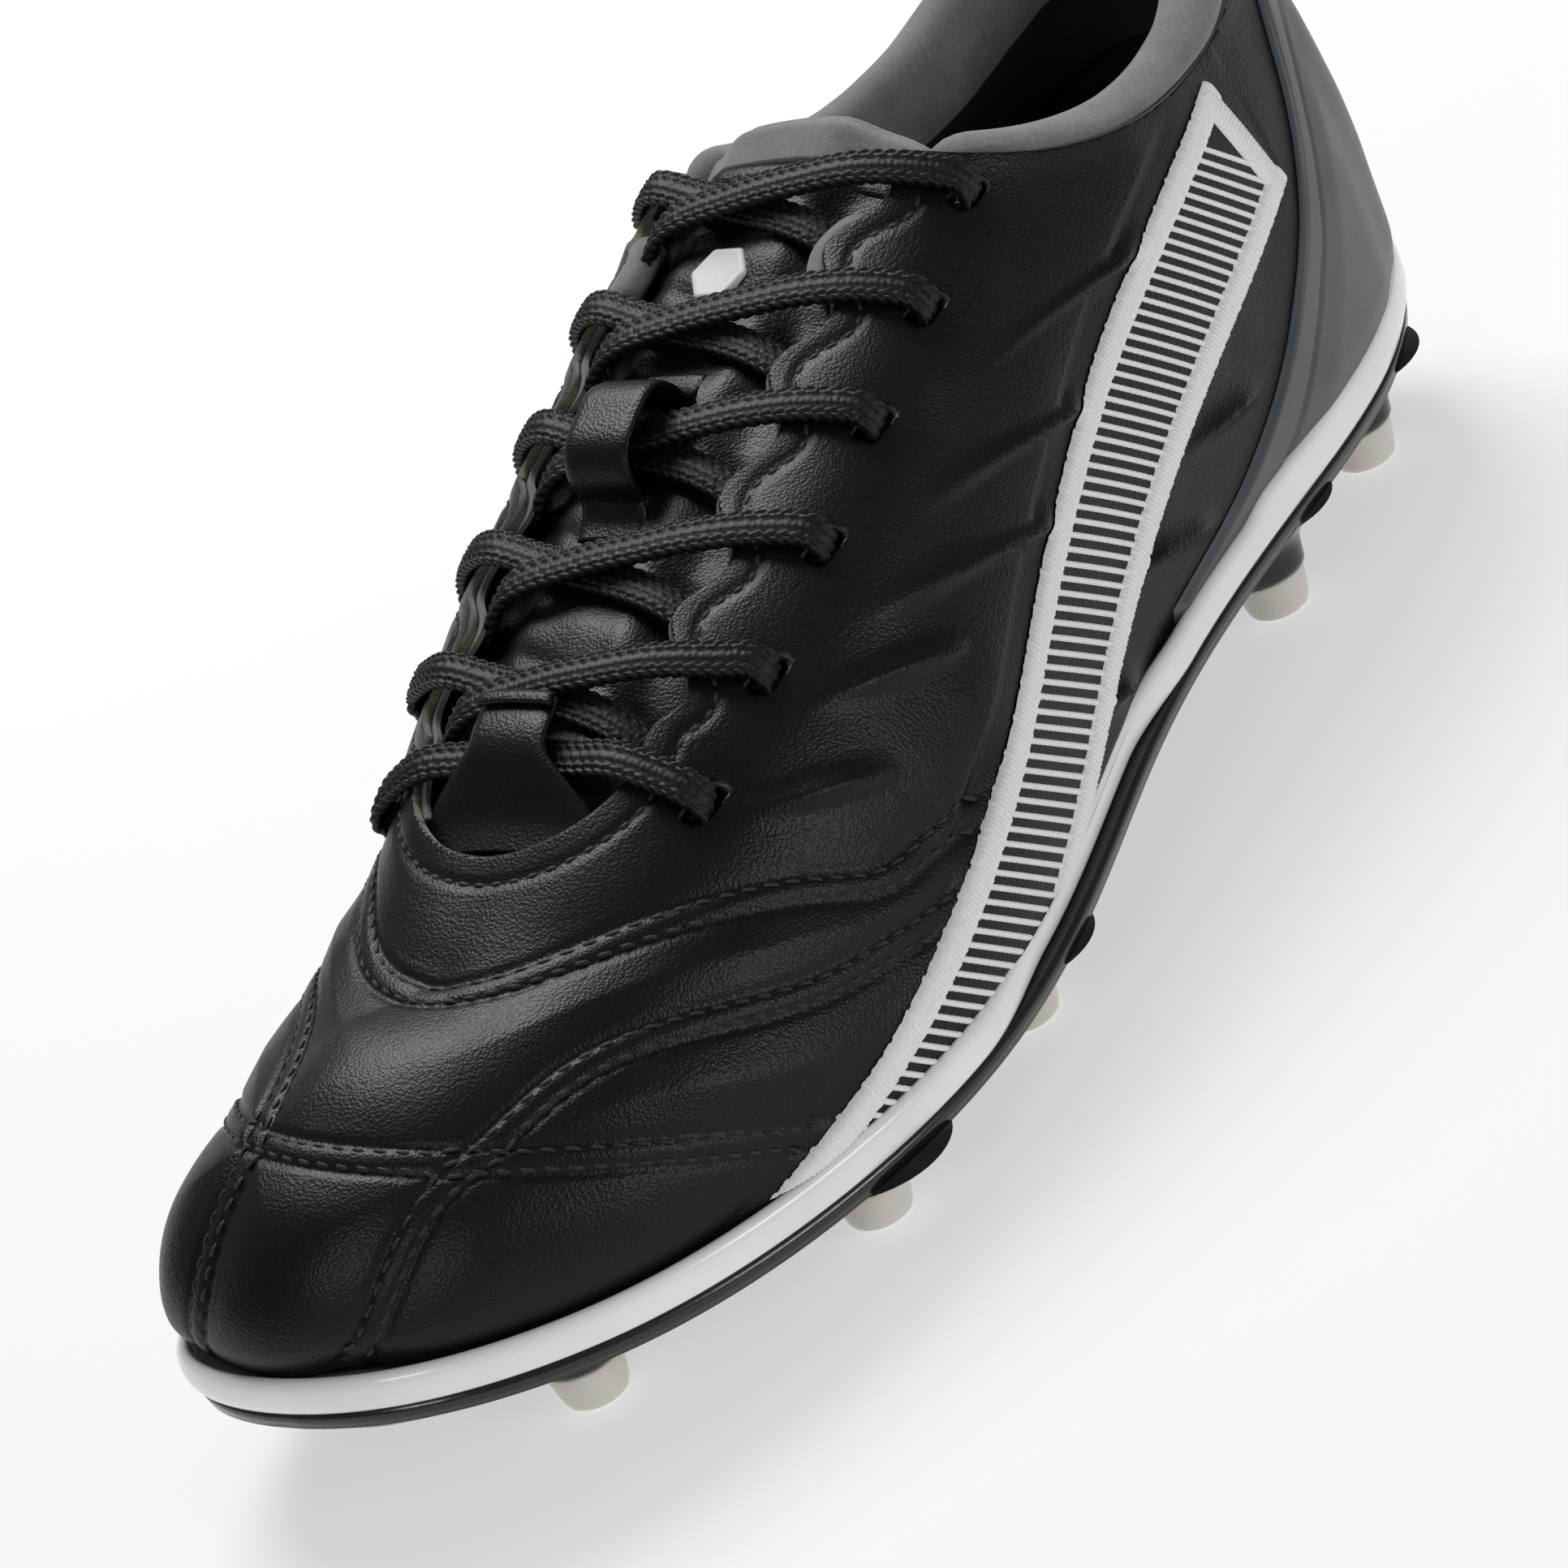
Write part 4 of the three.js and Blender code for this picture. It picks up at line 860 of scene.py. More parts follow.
def unshare(values):
    """Gives the second half's border vertices the values of the first half's."""
    values = values.copy()
    halves = values.reshape(2, STATIONS, LEVELS, 3)
    halves[1, :, -1], halves[1, 0], halves[1, -1] = halves[0, :, -1], halves[0, 0], halves[0, -1]
    return values


def vertex_normals(points, faces):
    a, b, c, d = (points[faces[:, k]] for k in range(4))
    across = np.cross(c - a, d - b)
    total = np.zeros_like(points)
    for k in range(4):
        np.add.at(total, faces[:, k], across)
    return unit(total)


def relax(points, faces, centre, reach, rounds):
    """Evens out the skin near one point."""
    near = np.linalg.norm(points - centre, axis=1) < reach
    used = faces[near[faces].any(1)]
    pairs = np.concatenate([used[:, [k, (k + 1) % 4]] for k in range(4)])
    pairs = np.unique(np.sort(pairs, axis=1), axis=0)
    pairs = pairs[pairs[:, 0] != pairs[:, 1]]
    degree = np.zeros(len(points))
    np.add.at(degree, pairs.ravel(), 1)
    weight = np.where(near, smoothstep(reach - np.linalg.norm(points - centre, axis=1), 0, reach * 0.6), 0)
    for _ in range(rounds):
        total = np.zeros_like(points)
        np.add.at(total, pairs[:, 0], points[pairs[:, 1]])
        np.add.at(total, pairs[:, 1], points[pairs[:, 0]])
        mean = total / np.maximum(degree, 1)[:, None]
        points = np.where(degree[:, None] > 0, mix(points, mean, 0.7 * weight[:, None]), points)
    return points


def raw(rows):
    """(x, s, z) rows to points of the last."""
    return np.array(rows, float) - (0, LENGTH / 2, 0)


class Skin:
    """A surface to lay curves on."""

    def __init__(self, points, faces):
        self.tree = BVHTree.FromPolygons(points.tolist(), [list(map(int, f)) for f in faces])

    def snap(self, points):
        found = [self.tree.find_nearest(Vector(p)) for p in points]
        return np.array([f[0] for f in found]), np.array([f[1] for f in found])

    def lay(self, points, spacing):
        """An even curve on the surface through rough points, with normals and sideways directions."""
        curve, _ = self.snap(resample(points, spacing))
        curve = resample(curve[::max(1, len(curve) // 60)], spacing) if len(curve) > 60 else curve
        curve, normal = self.snap(curve)
        return curve, normal, unit(np.cross(unit(np.gradient(curve, axis=0)), normal))


def seam_rows(skin):
    """Both rows of every double seam."""
    rows = {}
    for name, points in SEAMS.items():
        centre, _, across = skin.lay(raw(points), 0.5)
        rows[name] = [centre] + [skin.snap(centre + across * (SEAM_ROW * k))[0] for k in (-1, 1)]
    return rows


def throat_edge_row(outside):
    """Points along the throat's edge, a distance outside it, seen from above: (x, s)."""
    angle = np.linspace(np.pi / 2, 0, 24)[:-1]
    half = throat_half(THROAT_NOSE) + outside
    straight = np.arange(THROAT_NOSE, THROAT_BACK, 1.5)
    s = np.concatenate([THROAT_NOSE - (THROAT_HALF + outside) * np.sin(angle), straight])
    reach = np.concatenate([half * np.cos(angle), throat_half(straight) + outside])
    right = np.column_stack([ridge_side(s) + reach, s])
    left = np.column_stack([ridge_side(s) - reach, s])
    return np.concatenate([right[::-1], left[1:]])


def drop_on(skin, flat):
    """(x, s) places to the surface under them."""
    hits = [skin.tree.ray_cast(Vector((x, s - LENGTH / 2, 200)), Vector((0, 0, -1)))[0] for x, s in flat]
    return np.array([h for h in hits if h is not None])


def band_offset(s, up):
    """Distance above the middle line of the side band, and far off where the band ends."""
    offset = (up - (s - BAND_TOE) * BAND_RISE) / np.hypot(1, BAND_RISE)
    return np.where(s > BAND_HEEL, 99.0, offset)


def dart_relief(s, up):
    """Creased folds: gentle above, steep below, growing from the tip to the root."""
    total = np.zeros_like(s)
    for (s0, up0), (s1, up1) in DARTS:
        run = np.array([s1 - s0, up1 - up0], float)
        length = np.hypot(*run)
        run /= length
        along = (s - s0) * run[0] + (up - up0) * run[1]
        above = -(s - s0) * run[1] + (up - up0) * run[0]
        grow = smoothstep(along, -2, length * 0.7) * (1 - smoothstep(along, length - 4, length + 7))
        fall = np.where(above < 0, np.exp(-np.abs(above / 1.0) ** 1.4), np.maximum(1 - above / 4.6, 0) ** 2.0)
        total = np.maximum(total, 2.0 * grow * fall)
    return total


def band_step(s, up):
    """Low step where the quilted leather stops short of the band's upper border."""
    past = band_offset(s, up) - BAND_HALF
    step = smoothstep(past, 3.9, 5.0) * (1 - smoothstep(past, 5, 20))
    return 0.95 * step * smoothstep(s, 96, 110) * (1 - smoothstep(s, 210, 226))


def slot_fields(points):
    """Distance outside the nearest eyelet slot, and distance from its middle."""
    field, middle_gap = np.full(len(points), 50.0), np.full(len(points), 50.0)
    for row in range(EYELETS):
        for side in (1, -1):
            s = eyelet_station(row)
            arc = side * float(eyelet_arc(s))
            middle = instep(s, arc)
            along = unit(instep(s + 2, arc) - instep(s - 2, arc))
            across = unit(instep(s, arc + 2 * side) - instep(s, arc - 2 * side))
            near = np.linalg.norm(points - middle, axis=1) < 14
            local = points[near] - middle
            a, b = local @ across, local @ along
            reach = np.stack([np.abs(a) - SLOT_WIDE / 2 + 1, np.abs(b) - SLOT_LONG / 2 + 1])
            distance = np.hypot(*np.maximum(reach, 0)) + np.minimum(reach.max(0), 0) - 1
            field[near] = np.minimum(field[near], distance)
            middle_gap[near] = np.minimum(middle_gap[near], np.linalg.norm(local, axis=1))
    return field, middle_gap


def clip(data, faces, column):
    """Keeps the part of the faces where one column of the vertices' data is positive."""
    value = data[:, column]
    inside = (value > 0).tolist()
    kept, extra, made = [], [], {}

    def cross(a, b):
        key = (min(a, b), max(a, b))
        if key not in made:
            low, high = key
            made[key] = len(data) + len(extra)
            extra.append(mix(data[low], data[high], value[low] / (value[low] - value[high])))
        return made[key]

    for face in faces:
        state = [inside[k] for k in face]
        if all(state):
            kept.append(face)
        elif any(state):
            ring = []
            for k, a in enumerate(face):
                b = face[(k + 1) % len(face)]
                if state[k]:
                    ring.append(a)
                if state[k] != inside[b]:
                    ring.append(cross(a, b))
            if len(set(ring)) > 2:
                kept.append(ring)
    return np.concatenate([data, np.array(extra)]) if extra else data, kept


def drop_unused(data, faces):
    used = sorted({k for face in faces for k in face})
    number = {old: new for new, old in enumerate(used)}
    return data[used], [[number[k] for k in face] for face in faces]


def upper_relief(points, chart, rows, edge_row):
    """How far the leather stands off the last: unevenness, quilted seams, creases and the band's border."""
    s, up = chart[:, 0], chart[:, 1]
    relief = 0.30 * value_noise(points, 17, 3) + 0.13 * value_noise(points, 7, 5)
    relief *= smoothstep(up, 3, 14)
    relief -= 0.7 * (1 - smoothstep(up, 0, 6))
    quilt, strip, groove = (np.zeros(len(points)) for _ in range(3))
    for centre, left, right in rows.values():
        gap = near_curve(points, centre, 22)
        quilt = np.maximum(quilt, np.exp(-(gap / 7.5) ** 2))
        strip = np.maximum(strip, np.exp(-(gap / 1.9) ** 4))
        for row in (left, right):
            groove = np.maximum(groove, np.exp(-(near_curve(points, row, 5) / THREAD_GROOVE) ** 2))
    relief -= 1.25 * quilt - 0.25 * strip + 0.45 * groove
    relief -= 0.42 * np.exp(-(near_curve(points, edge_row, 6) / THREAD_GROOVE) ** 2)
    relief += np.maximum(dart_relief(s, up), band_step(s, up))
    return relief * smoothstep(np.abs(band_offset(s, up)), BAND_HALF - 2, BAND_HALF + 2.5)


class Chart:
    """The finished leather as a map: station and distance up the rib to a point and its normal."""

    def __init__(self, points, normals, chart):
        shape = (2, STATIONS, LEVELS, 3)
        self.points, self.normals = points.reshape(shape), normals.reshape(shape)
        self.s = chart[:STATIONS * LEVELS:LEVELS, 0]
        self.total = chart[:, 1].reshape(2, STATIONS, LEVELS)[:, :, -1]

    def at(self, s, up, side, lift=0.0):
        s, up, side, lift = np.broadcast_arrays(*(np.asarray(v, float) for v in (s, up, side, lift)))
        half = (side < 0).astype(int)
        along = np.interp(s, self.s, np.arange(STATIONS))
        i = np.minimum(along.astype(int), STATIONS - 2)
        point, normal = 0, 0
        for k, share in ((i, 1 - (along - i)), (i + 1, along - i)):
            level = np.clip(up / self.total[half, k], 0, 1) * (LEVELS - 1)
            j = np.minimum(level.astype(int), LEVELS - 2)
            for m, part in ((j, 1 - (level - j)), (j + 1, level - j)):
                weight = (share * part)[..., None]
                point = point + self.points[half, k, m] * weight
                normal = normal + self.normals[half, k, m] * weight
        return point + unit(normal) * lift[..., None]

    def rib(self, s, side):
        """Length of the rib at a station."""
        outer, inner = (np.interp(s, self.s, total) for total in self.total)
        return np.where(np.asarray(side) > 0, outer, inner)


def build_upper():
    """The leather with its seams and slots. Gives back what later pieces are laid on."""
    points, chart, faces = whole_last(STATIONS, LEVELS)
    points = relax(points, faces, raw(TOE_POLE), TOE_REACH, 60)
    normals = vertex_normals(points, faces)
    skin = Skin(points, faces)
    rows = seam_rows(skin)
    edge_row = drop_on(skin, throat_edge_row(EDGE_ROW))
    relief = upper_relief(points, chart, rows, resample(edge_row, 0.5))
    slots, middle = slot_fields(points)
    relief -= 0.55 * np.exp(-(middle / 6) ** 2)
    edge = smooth_min(throat_field(points), collar_field(points), 5)
    relief += 0.25 * np.exp(-(np.maximum(edge, 0) / 2.2) ** 2)
    shaped = points + normals * relief[:, None]
    leather = Chart(unshare(shaped), unshare(vertex_normals(shaped, faces)), chart)
    data = np.column_stack([shaped, edge, slots])
    kept = faces.tolist()
    for column in (3, 4):
        data, kept = clip(data, kept, column)
    data, kept = drop_unused(data, kept)
    piece = make("upper_leather", Shape().add(data[:, :3], kept), [BLACK_LEATHER, CUT_EDGE, DARK_LINING],
                 replaces=["upper"], outward=False)
    modifier(piece, "SOLIDIFY", thickness=LEATHER / 1000, offset=-1, use_even_offset=False,
             material_offset=2, material_offset_rim=1)
    return Skin(data[:, :3], kept), rows, edge_row, leather


UPPER, SEAM_LINES, THROAT_ROW, LEATHER_MAP = build_upper()

# ------------------------------------------------------------------ stitches
def add_stitches(shape, curve, normal, lean):
    """One short thread from each point of an even curve to the next."""
    start, stop = curve[:-1], curve[1:]
    middle, tangent = (start + stop) / 2, unit(stop - start)
    up = unit(normal[:-1] + normal[1:])
    across = unit(np.cross(tangent, up))
    tangent = unit(tangent + lean * across)
    half = np.linalg.norm(stop - start, axis=1) / 2 - STITCH_GAP
    u = np.array([-1.05, -0.8, -0.3, 0.3, 0.8, 1.05])
    girth = np.array([0.3, 0.8, 1, 1, 0.8, 0.3])
    lift = np.array([-0.35, -0.02, 0.12, 0.12, -0.02, -0.35])
    angle = 2 * np.pi * np.arange(6) / 6
    ring_a, ring_u = np.cos(angle) * STITCH_WIDE / 2, np.sin(angle) * STITCH_HIGH / 2
    spot = (middle[:, None] + tangent[:, None] * (u * half[:, None])[..., None]
            + up[:, None] * lift[None, :, None])[:, :, None]
    spot = spot + across[:, None, None] * (girth[:, None] * ring_a)[None, ..., None]
    spot = spot + up[:, None, None] * (girth[:, None] * ring_u)[None, ..., None]
    for thread in spot:
        shape.tube(thread)


def build_stitches():
    shape = Shape()
    sewn = [(row[::4], SEAM_PITCH, SEAM_LEAN) for _, *pair in SEAM_LINES.values() for row in pair]
    for points, pitch, lean in sewn + [(THROAT_ROW[::2], EDGE_PITCH, 0.0)]:
        curve, normal, _ = UPPER.lay(points, pitch)
        add_stitches(shape, curve, normal, lean)
    make("seam_stitches", shape, [BLACK_THREAD])


# ------------------------------------------------------------------ side bands
BAND_BORDER = 4.6
BAND_LENGTH = 160.0
BAND_START = -50
HATCH_PITCH = 2.35
HATCH_LEAN = 0.594
THREAD_PITCH = 0.8


def band_place(along, across, side, lift):
    """Point of a side band: distance along its middle line from the sole, and distance above that line."""
    run = np.hypot(1, BAND_RISE)
    s = BAND_TOE + (along - across * BAND_RISE) / run
    up = (along * BAND_RISE + across) / run
    return LEATHER_MAP.at(s, np.maximum(up, 0.3), side, lift), up


def satin(base, run, u):
    """Height of close threads laid across a border; u goes from one edge (-1) to the other (1)."""
    relief = 0.11 * np.cos(2 * np.pi * run / THREAD_PITCH)
    return base + 0.95 * (1 - u ** 4) + relief * (1 - u ** 6)


def build_band(name, side):
    """Embroidered side band: leather, a satin border all round and slanted bars between."""
    shape = Shape()

    def sheet(along, across, lift, mat):
        along, across = np.broadcast_arrays(along, across)
        points, up = band_place(along, across, side, np.broadcast_to(lift, along.shape))
        shape.clipped(points, np.minimum(up - 1.2, BAND_LENGTH - along), grid_faces(*along.shape), mat)

    along = np.arange(BAND_START, BAND_LENGTH + 1, 1.4)[:, None]
    sheet(along, np.linspace(-BAND_HALF + 0.4, BAND_HALF - 0.4, 22)[None], 0.35, 0)
    inner = BAND_HALF - BAND_BORDER
    along = np.arange(BAND_START, BAND_LENGTH, THREAD_PITCH / 4)[:, None]
    thread = np.round(along / THREAD_PITCH)
    ragged = 0.16 * np.sin(thread * 12.9898) * np.cos(thread * 4.1)
    u = np.linspace(-1, 1, 11)[None]
    for sign in (-1, 1):
        across = sign * (inner + BAND_BORDER / 2 + u * (BAND_BORDER / 2 + ragged))
        sheet(along + 0.25 * u, across, satin(0.25, along, u), 1)
    across = np.arange(-BAND_HALF, BAND_HALF + 0.01, THREAD_PITCH / 4)[:, None]
    end = BAND_LENGTH - BAND_BORDER * (1 - u) / 2
    lift = satin(0.33, across, u) * smoothstep(BAND_HALF - np.abs(across), -0.3, 1.2)
    shape.sheet(band_place(end - 0.05 + 0 * across, across + 0 * end, side, lift)[0], 1)
    w = np.linspace(-inner - 0.5, inner + 0.5, 28)[:, None]
    v = np.linspace(-1, 1, 7)[None]
    for start in np.arange(BAND_START + 2, BAND_LENGTH - BAND_BORDER, HATCH_PITCH):
        wobble = 0.04 * np.sin(w * 5.5 + start)
        sheet(start - HATCH_LEAN * w + v * (0.52 + wobble), w + 0 * v, 0.3 + 0.42 * (1 - v ** 4) + 0 * w, 1)
    make(name, shape, [BLACK_LEATHER, WHITE_THREAD],
         replaces=["side_band_lateral" if side > 0 else "side_band_medial"], outward=False)


# ------------------------------------------------------------------ heel counter
COUNTER_GROOVE = 7.5
DIMPLE_PITCH = 3.1


def build_counter():
    """Moulded heel cup: a thin wing towards the waist, fluted and dimpled round the heel."""
    columns, rows = 420, 64
    start, stop = outline_t(174, 1), outline_t(174, -1)
    t = np.linspace(start, stop, columns)
    s = outline(t)[:, 1]
    side = np.where(t < HEEL_T, 1.0, -1.0)
    under_collar = np.array([height_limit(a, b) for a, b in zip(s, side)])
    top = np.minimum(np.minimum(counter_edge(s), LEATHER_MAP.rib(s, side) - 2), under_collar)
    share = np.linspace(0, 1, rows)
    up = mix(0.4, top[:, None], share[None])
    below_edge = top[:, None] - up
    body = smoothstep(below_edge, -0.2, 1.4)
    groove = np.exp(-((below_edge - COUNTER_GROOVE) / 0.7) ** 2)
    swell = smoothstep(below_edge, COUNTER_GROOVE, COUNTER_GROOVE + 9)
    from_back = (np.abs(t - HEEL_T))[:, None]
    flute = 0.25 * swell * np.cos(from_back / 15 * 2 * np.pi) * (1 - smoothstep(from_back, 34, 50))
    dimple = dimples(t - HEEL_T, up) * (np.abs(up - 30) < 13) * (from_back < 26) * (from_back > 6)
    lift = 0.15 + body * (1.15 - 0.45 * groove + 0.65 * swell + flute) - 0.45 * dimple
    end = smoothstep(np.minimum(t - start, stop - t), 0, 3)[:, None]
    over, under = (LEATHER_MAP.at(s[:, None], up, side[:, None], v) for v in (mix(0.15, lift, end), 0.05))
    make("heel_cup", Shape().slab(over, under), [GREY_PLASTIC], replaces=["heel_counter"])


def height_limit(s, side):
    """Distance up a rib to just under the collar's edge."""
    t = outline_t(s, side)
    h = np.linspace(0, 1, 200)
    path = last(np.full(200, float(t)), h)
    run = run_along(path)
    over = collar_field(path, 3.0) < 0
    return run[np.argmax(over)] if over.any() else run[-1]


def dimples(a, b):
    """Staggered rows of round dimples, 1 at the middle of each."""
    row = np.round(b / DIMPLE_PITCH)
    u = (a[:, None] + 0 * b) / DIMPLE_PITCH + 0.5 * (row % 2)
    gap = np.hypot((u - np.round(u)) * DIMPLE_PITCH, b - row * DIMPLE_PITCH)
    return np.exp(-(gap / 0.85) ** 2)


# ------------------------------------------------------------------ sole
def beside(t, out, z):
    """Point at a distance outside the sole line and above the bite line."""
    t, out, z = np.broadcast_arrays(np.asarray(t, float), out, z)
    at, run = sole_at(t), unit(sole_at(t + 0.5) - sole_at(t - 0.5))
    x, s = at[..., 0] + out * run[..., 1], at[..., 1] - out * run[..., 0]
    return np.stack([x, s - LENGTH / 2, bite(at[..., 1]) + z], -1)


def build_rim():
    """White band round the sole, with a lip against the leather and a step at the heel."""
    t = np.linspace(0, PERIMETER, 600, endpoint=False)[:, None]
    s = outline(t[:, 0])[:, 1][:, None]
    step = smoothstep(s, 196, 206) * (1 - smoothstep(s, 262, 284) * 0.3)
    # the section: out from the sole line, up from the bite line, and each point's share of the heel step
    out = np.array([0.1, 0.6, 1.1, 1.6, 2.0, 2.25, 2.3, 2.25, 2.0, 1.7, 1.2, -6, -6, -0.2])[None]
    z = np.array([0.75, 1.0, 0.95, 0.7, 0.1, -0.8, -1.8, -2.8, -3.6, -4.2, -4.5, -4.5, -0.7, -0.7])[None]
    upper = np.array([1, 1, 1, 1, 1, 0.8, 0.4, 0.1, 0, 0, 0, 0, 0, 0.5])[None]
    tuck = smoothstep(s, 88, 112) * (1 - smoothstep(s, 150, 172)) * (t < HEEL_T)
    out = out - 2.6 * tuck * (out > 0)
    shape = Shape().tube(beside(t, out, z + upper * 1.3 * step), closed=True)
    make("rim_band", shape, [WHITE_PLASTIC], replaces=["sole_rim"])


def across_sole(out, count_s, count_x):
    """Grid over the plan of the sole, a distance outside the sole line: points on the bite surface."""
    s = LENGTH / 2 * (1 - 0.9995 * np.cos(np.linspace(0, np.pi, count_s)))
    outer, inner = beside(outline_t(s, 1), out, 0), beside(outline_t(s, -1), out, 0)
    share = np.linspace(0, 1, count_x)[None, :, None]
    grid = mix(inner[:, None], outer[:, None], share)
    grid[..., 2] = bite(station(grid))
    return grid


def lifted(grid, z):
    grid = grid.copy()
    grid[..., 2] += z
    return grid


# the studs that the plate's ribs run between
RIB_LINES = [
    ("forefoot_lateral_1", "forefoot_medial_1"), ("forefoot_lateral_1", "forefoot_medial_2"),
    ("forefoot_lateral_2", "forefoot_centre"), ("forefoot_medial_2", "forefoot_centre"),
    ("forefoot_lateral_3", "forefoot_centre"), ("forefoot_medial_3", "forefoot_centre"),
    ("forefoot_lateral_3", "heel_medial_1"), ("forefoot_medial_3", "heel_lateral_1"),
    ("heel_lateral_1", "heel_medial_2"), ("heel_medial_1", "heel_lateral_2"),
]


STUD_ANGLE = np.linspace(0, 2 * np.pi, 64, endpoint=False)
# half of a stud tip's outline, as (radius, height)
TIP_PROFILE = [
    (0.3, 0.55), (2.2, 0.5), (3.0, 0.18), (3.6, 0.02), (4.2, 0.05), (4.65, 0.4), (4.9, 1.0),
    (5.15, 2.2), (5.4, 3.6), (5.65, 5.0), (5.9, 6.2), (5.8, 6.5), (5.0, 6.55), (0.3, 6.55),
]


def segment_gap(x, s, a, b):
    """Distance from the straight line between two studs."""
    ax, as_ = STUDS[a]
    run = np.array([STUDS[b][0] - ax, STUDS[b][1] - as_], float)
    share = np.clip(((x - ax) * run[0] + (s - as_) * run[1]) / (run @ run), 0, 1)
    return np.hypot(x - ax - share * run[0], s - as_ - share * run[1])


def plate_relief(x, s, edge):
    """Thickness added under the plate: ribs between the studs and a pad round each."""
    ribs = np.zeros_like(x)
    for a, b in RIB_LINES:
        ribs = np.maximum(ribs, 1 - smoothstep(segment_gap(x, s, a, b), 1.3, 3.2))
    pads = np.zeros_like(x)
    for sx, ss in STUDS.values():
        gap = np.hypot(x - sx, s - ss)
        pads = np.maximum(pads, np.exp(-(np.maximum(gap - 7.5, 0) / 3.2) ** 2) * 2.2)
    spine = 1.4 * np.exp(-((x - ridge_side(s) + 4) / 7) ** 2)
    spine = spine * smoothstep(s, 128, 150) * (1 - smoothstep(s, 190, 212))
    return (1.0 * ribs + pads + spine) * smoothstep(edge, 0.5, 4)


def side_edge(grid):
    """Distance from each point of a grid over the sole to the nearer side."""
    share = np.linspace(0, 1, grid.shape[1])[None]
    return np.minimum(share, 1 - share) * np.linalg.norm(grid[:, -1] - grid[:, 0], axis=1)[:, None]


def stud_rings(middle, radius, z, oval=1.0):
    """Rings round a stud's axis: a radius and a height for each, and how oval they are."""
    x, y = radius[:, None] * np.cos(STUD_ANGLE) * oval, radius[:, None] * np.sin(STUD_ANGLE) * oval
    return np.stack([middle[0] + x, middle[1] - LENGTH / 2 + y, z[:, None] + 0 * STUD_ANGLE], -1)


def build_plate():
    """Black plate with its ribs, and a stem for each stud."""
    top, under = across_sole(1.5, 300, 90), across_sole(0.9, 300, 90)
    x, s = under[..., 0], station(under)
    edge = np.minimum(side_edge(under), np.minimum(s - s.min(), s.max() - s))
    low = PLATE_TOP - PLATE_THICK + 1.2 * (1 - smoothstep(edge, 0, 5)) - plate_relief(x, s, edge)
    shape = Shape().slab(lifted(top, PLATE_TOP + 1.5), lifted(under, low))
    for sx, ss in STUDS.values():
        low, high = TIP_HEIGHT + 0.3, float(bite(ss)) + PLATE_TOP - PLATE_THICK + 1
        share = np.linspace(0, 1, 16)
        radius = TIP_RADIUS + 0.35 + 1.2 * share + 6.0 * np.maximum(share - 0.3, 0) ** 2 / 0.49
        radius = np.concatenate([[0.4, TIP_RADIUS - 0.3], radius])
        z = np.concatenate([[low, low], mix(low + 0.25, high, share)])
        oval = 1 + 0.12 * np.cos(2 * STUD_ANGLE)[None] * smoothstep(z, low, high)[:, None]
        shape.tube(stud_rings((sx, ss), radius, z, oval))
    make("outsole", shape, [BLACK_PLASTIC], replaces=["outsole_plate"])


def build_tips():
    """Studs: rounded cups with a shallow dish and a soft ground edge."""
    radius, z = np.array(TIP_PROFILE).T
    for name, middle in STUDS.items():
        shape = Shape().tube(stud_rings(middle, radius, z))
        make("tip_" + name, shape, [STUD_PLASTIC], replaces=["stud_tip_" + name])


# ------------------------------------------------------------------ inside
def layer(name, out, low, high, material, replaces, body="boot", puffy=0.0):
    """A sheet that follows the sole between two heights over the bite line."""
    grid = across_sole(out, 160, 40)
    crown = puffy * (smoothstep(side_edge(grid), 0, 5) - 1)
    shape = Shape().slab(lifted(grid, high + crown), lifted(grid, low))
    return make(name, shape, [material], body=body, replaces=replaces)


LINING_IN = 3.7
LINING_THROAT = 41


def build_lining():
    """Lining of the vamp and quarters, open under the throat and below the collar's pad."""
    stations, levels = 160, 60
    points, chart, faces = whole_last(stations, levels)
    points = relax(points, faces, raw(TOE_POLE), TOE_REACH, 25)
    up = chart[:, 1].reshape(2, stations, levels)
    from_ridge = (up[..., -1:] - up).ravel()
    closed_toe = 60 * (station(points) < THROAT_TOE - 16)
    field = np.minimum(collar_field(points, 20), from_ridge - LINING_THROAT + closed_toe)
    shape = Shape().clipped(points - vertex_normals(points, faces) * LINING_IN, field, faces)
    piece = make("inner_lining", shape, [DARK_LINING], replaces=["lining"], outward=False)
    modifier(piece, "SOLIDIFY", thickness=0.0007, offset=-1)


def stiffener(name, start, stop, high, lift, replaces):
    """A board inside the leather between two places on the sole line, up to a share of the rib."""
    t, h = np.meshgrid(np.linspace(start, stop, 90), np.linspace(0.03, high, 30), indexing="ij")
    over, under = (last_offset(t, h, np.full(t.shape, v)) for v in (lift, lift - 0.5))
    make(name, Shape().slab(over, under), [BOARD], replaces=replaces)


def build_inside():
    layer("lasting_board", -6.8, -5.4, -3.4, BOARD, ["insole_board"])
    liner = layer("footbed", -6.4, -3.0, 1.0, DARK_LINING, ["sock_liner"], "sock_liner", 1.2)
    build_lining()
    stiffener("toe_box_stiffener", outline_t(36, -1) - PERIMETER, outline_t(36, 1), 0.72, -3.5, ["toe_puff"])
    stiffener("heel_box_stiffener", outline_t(214, 1), outline_t(214, -1), 0.3, -2.2, ["heel_stiffener"])


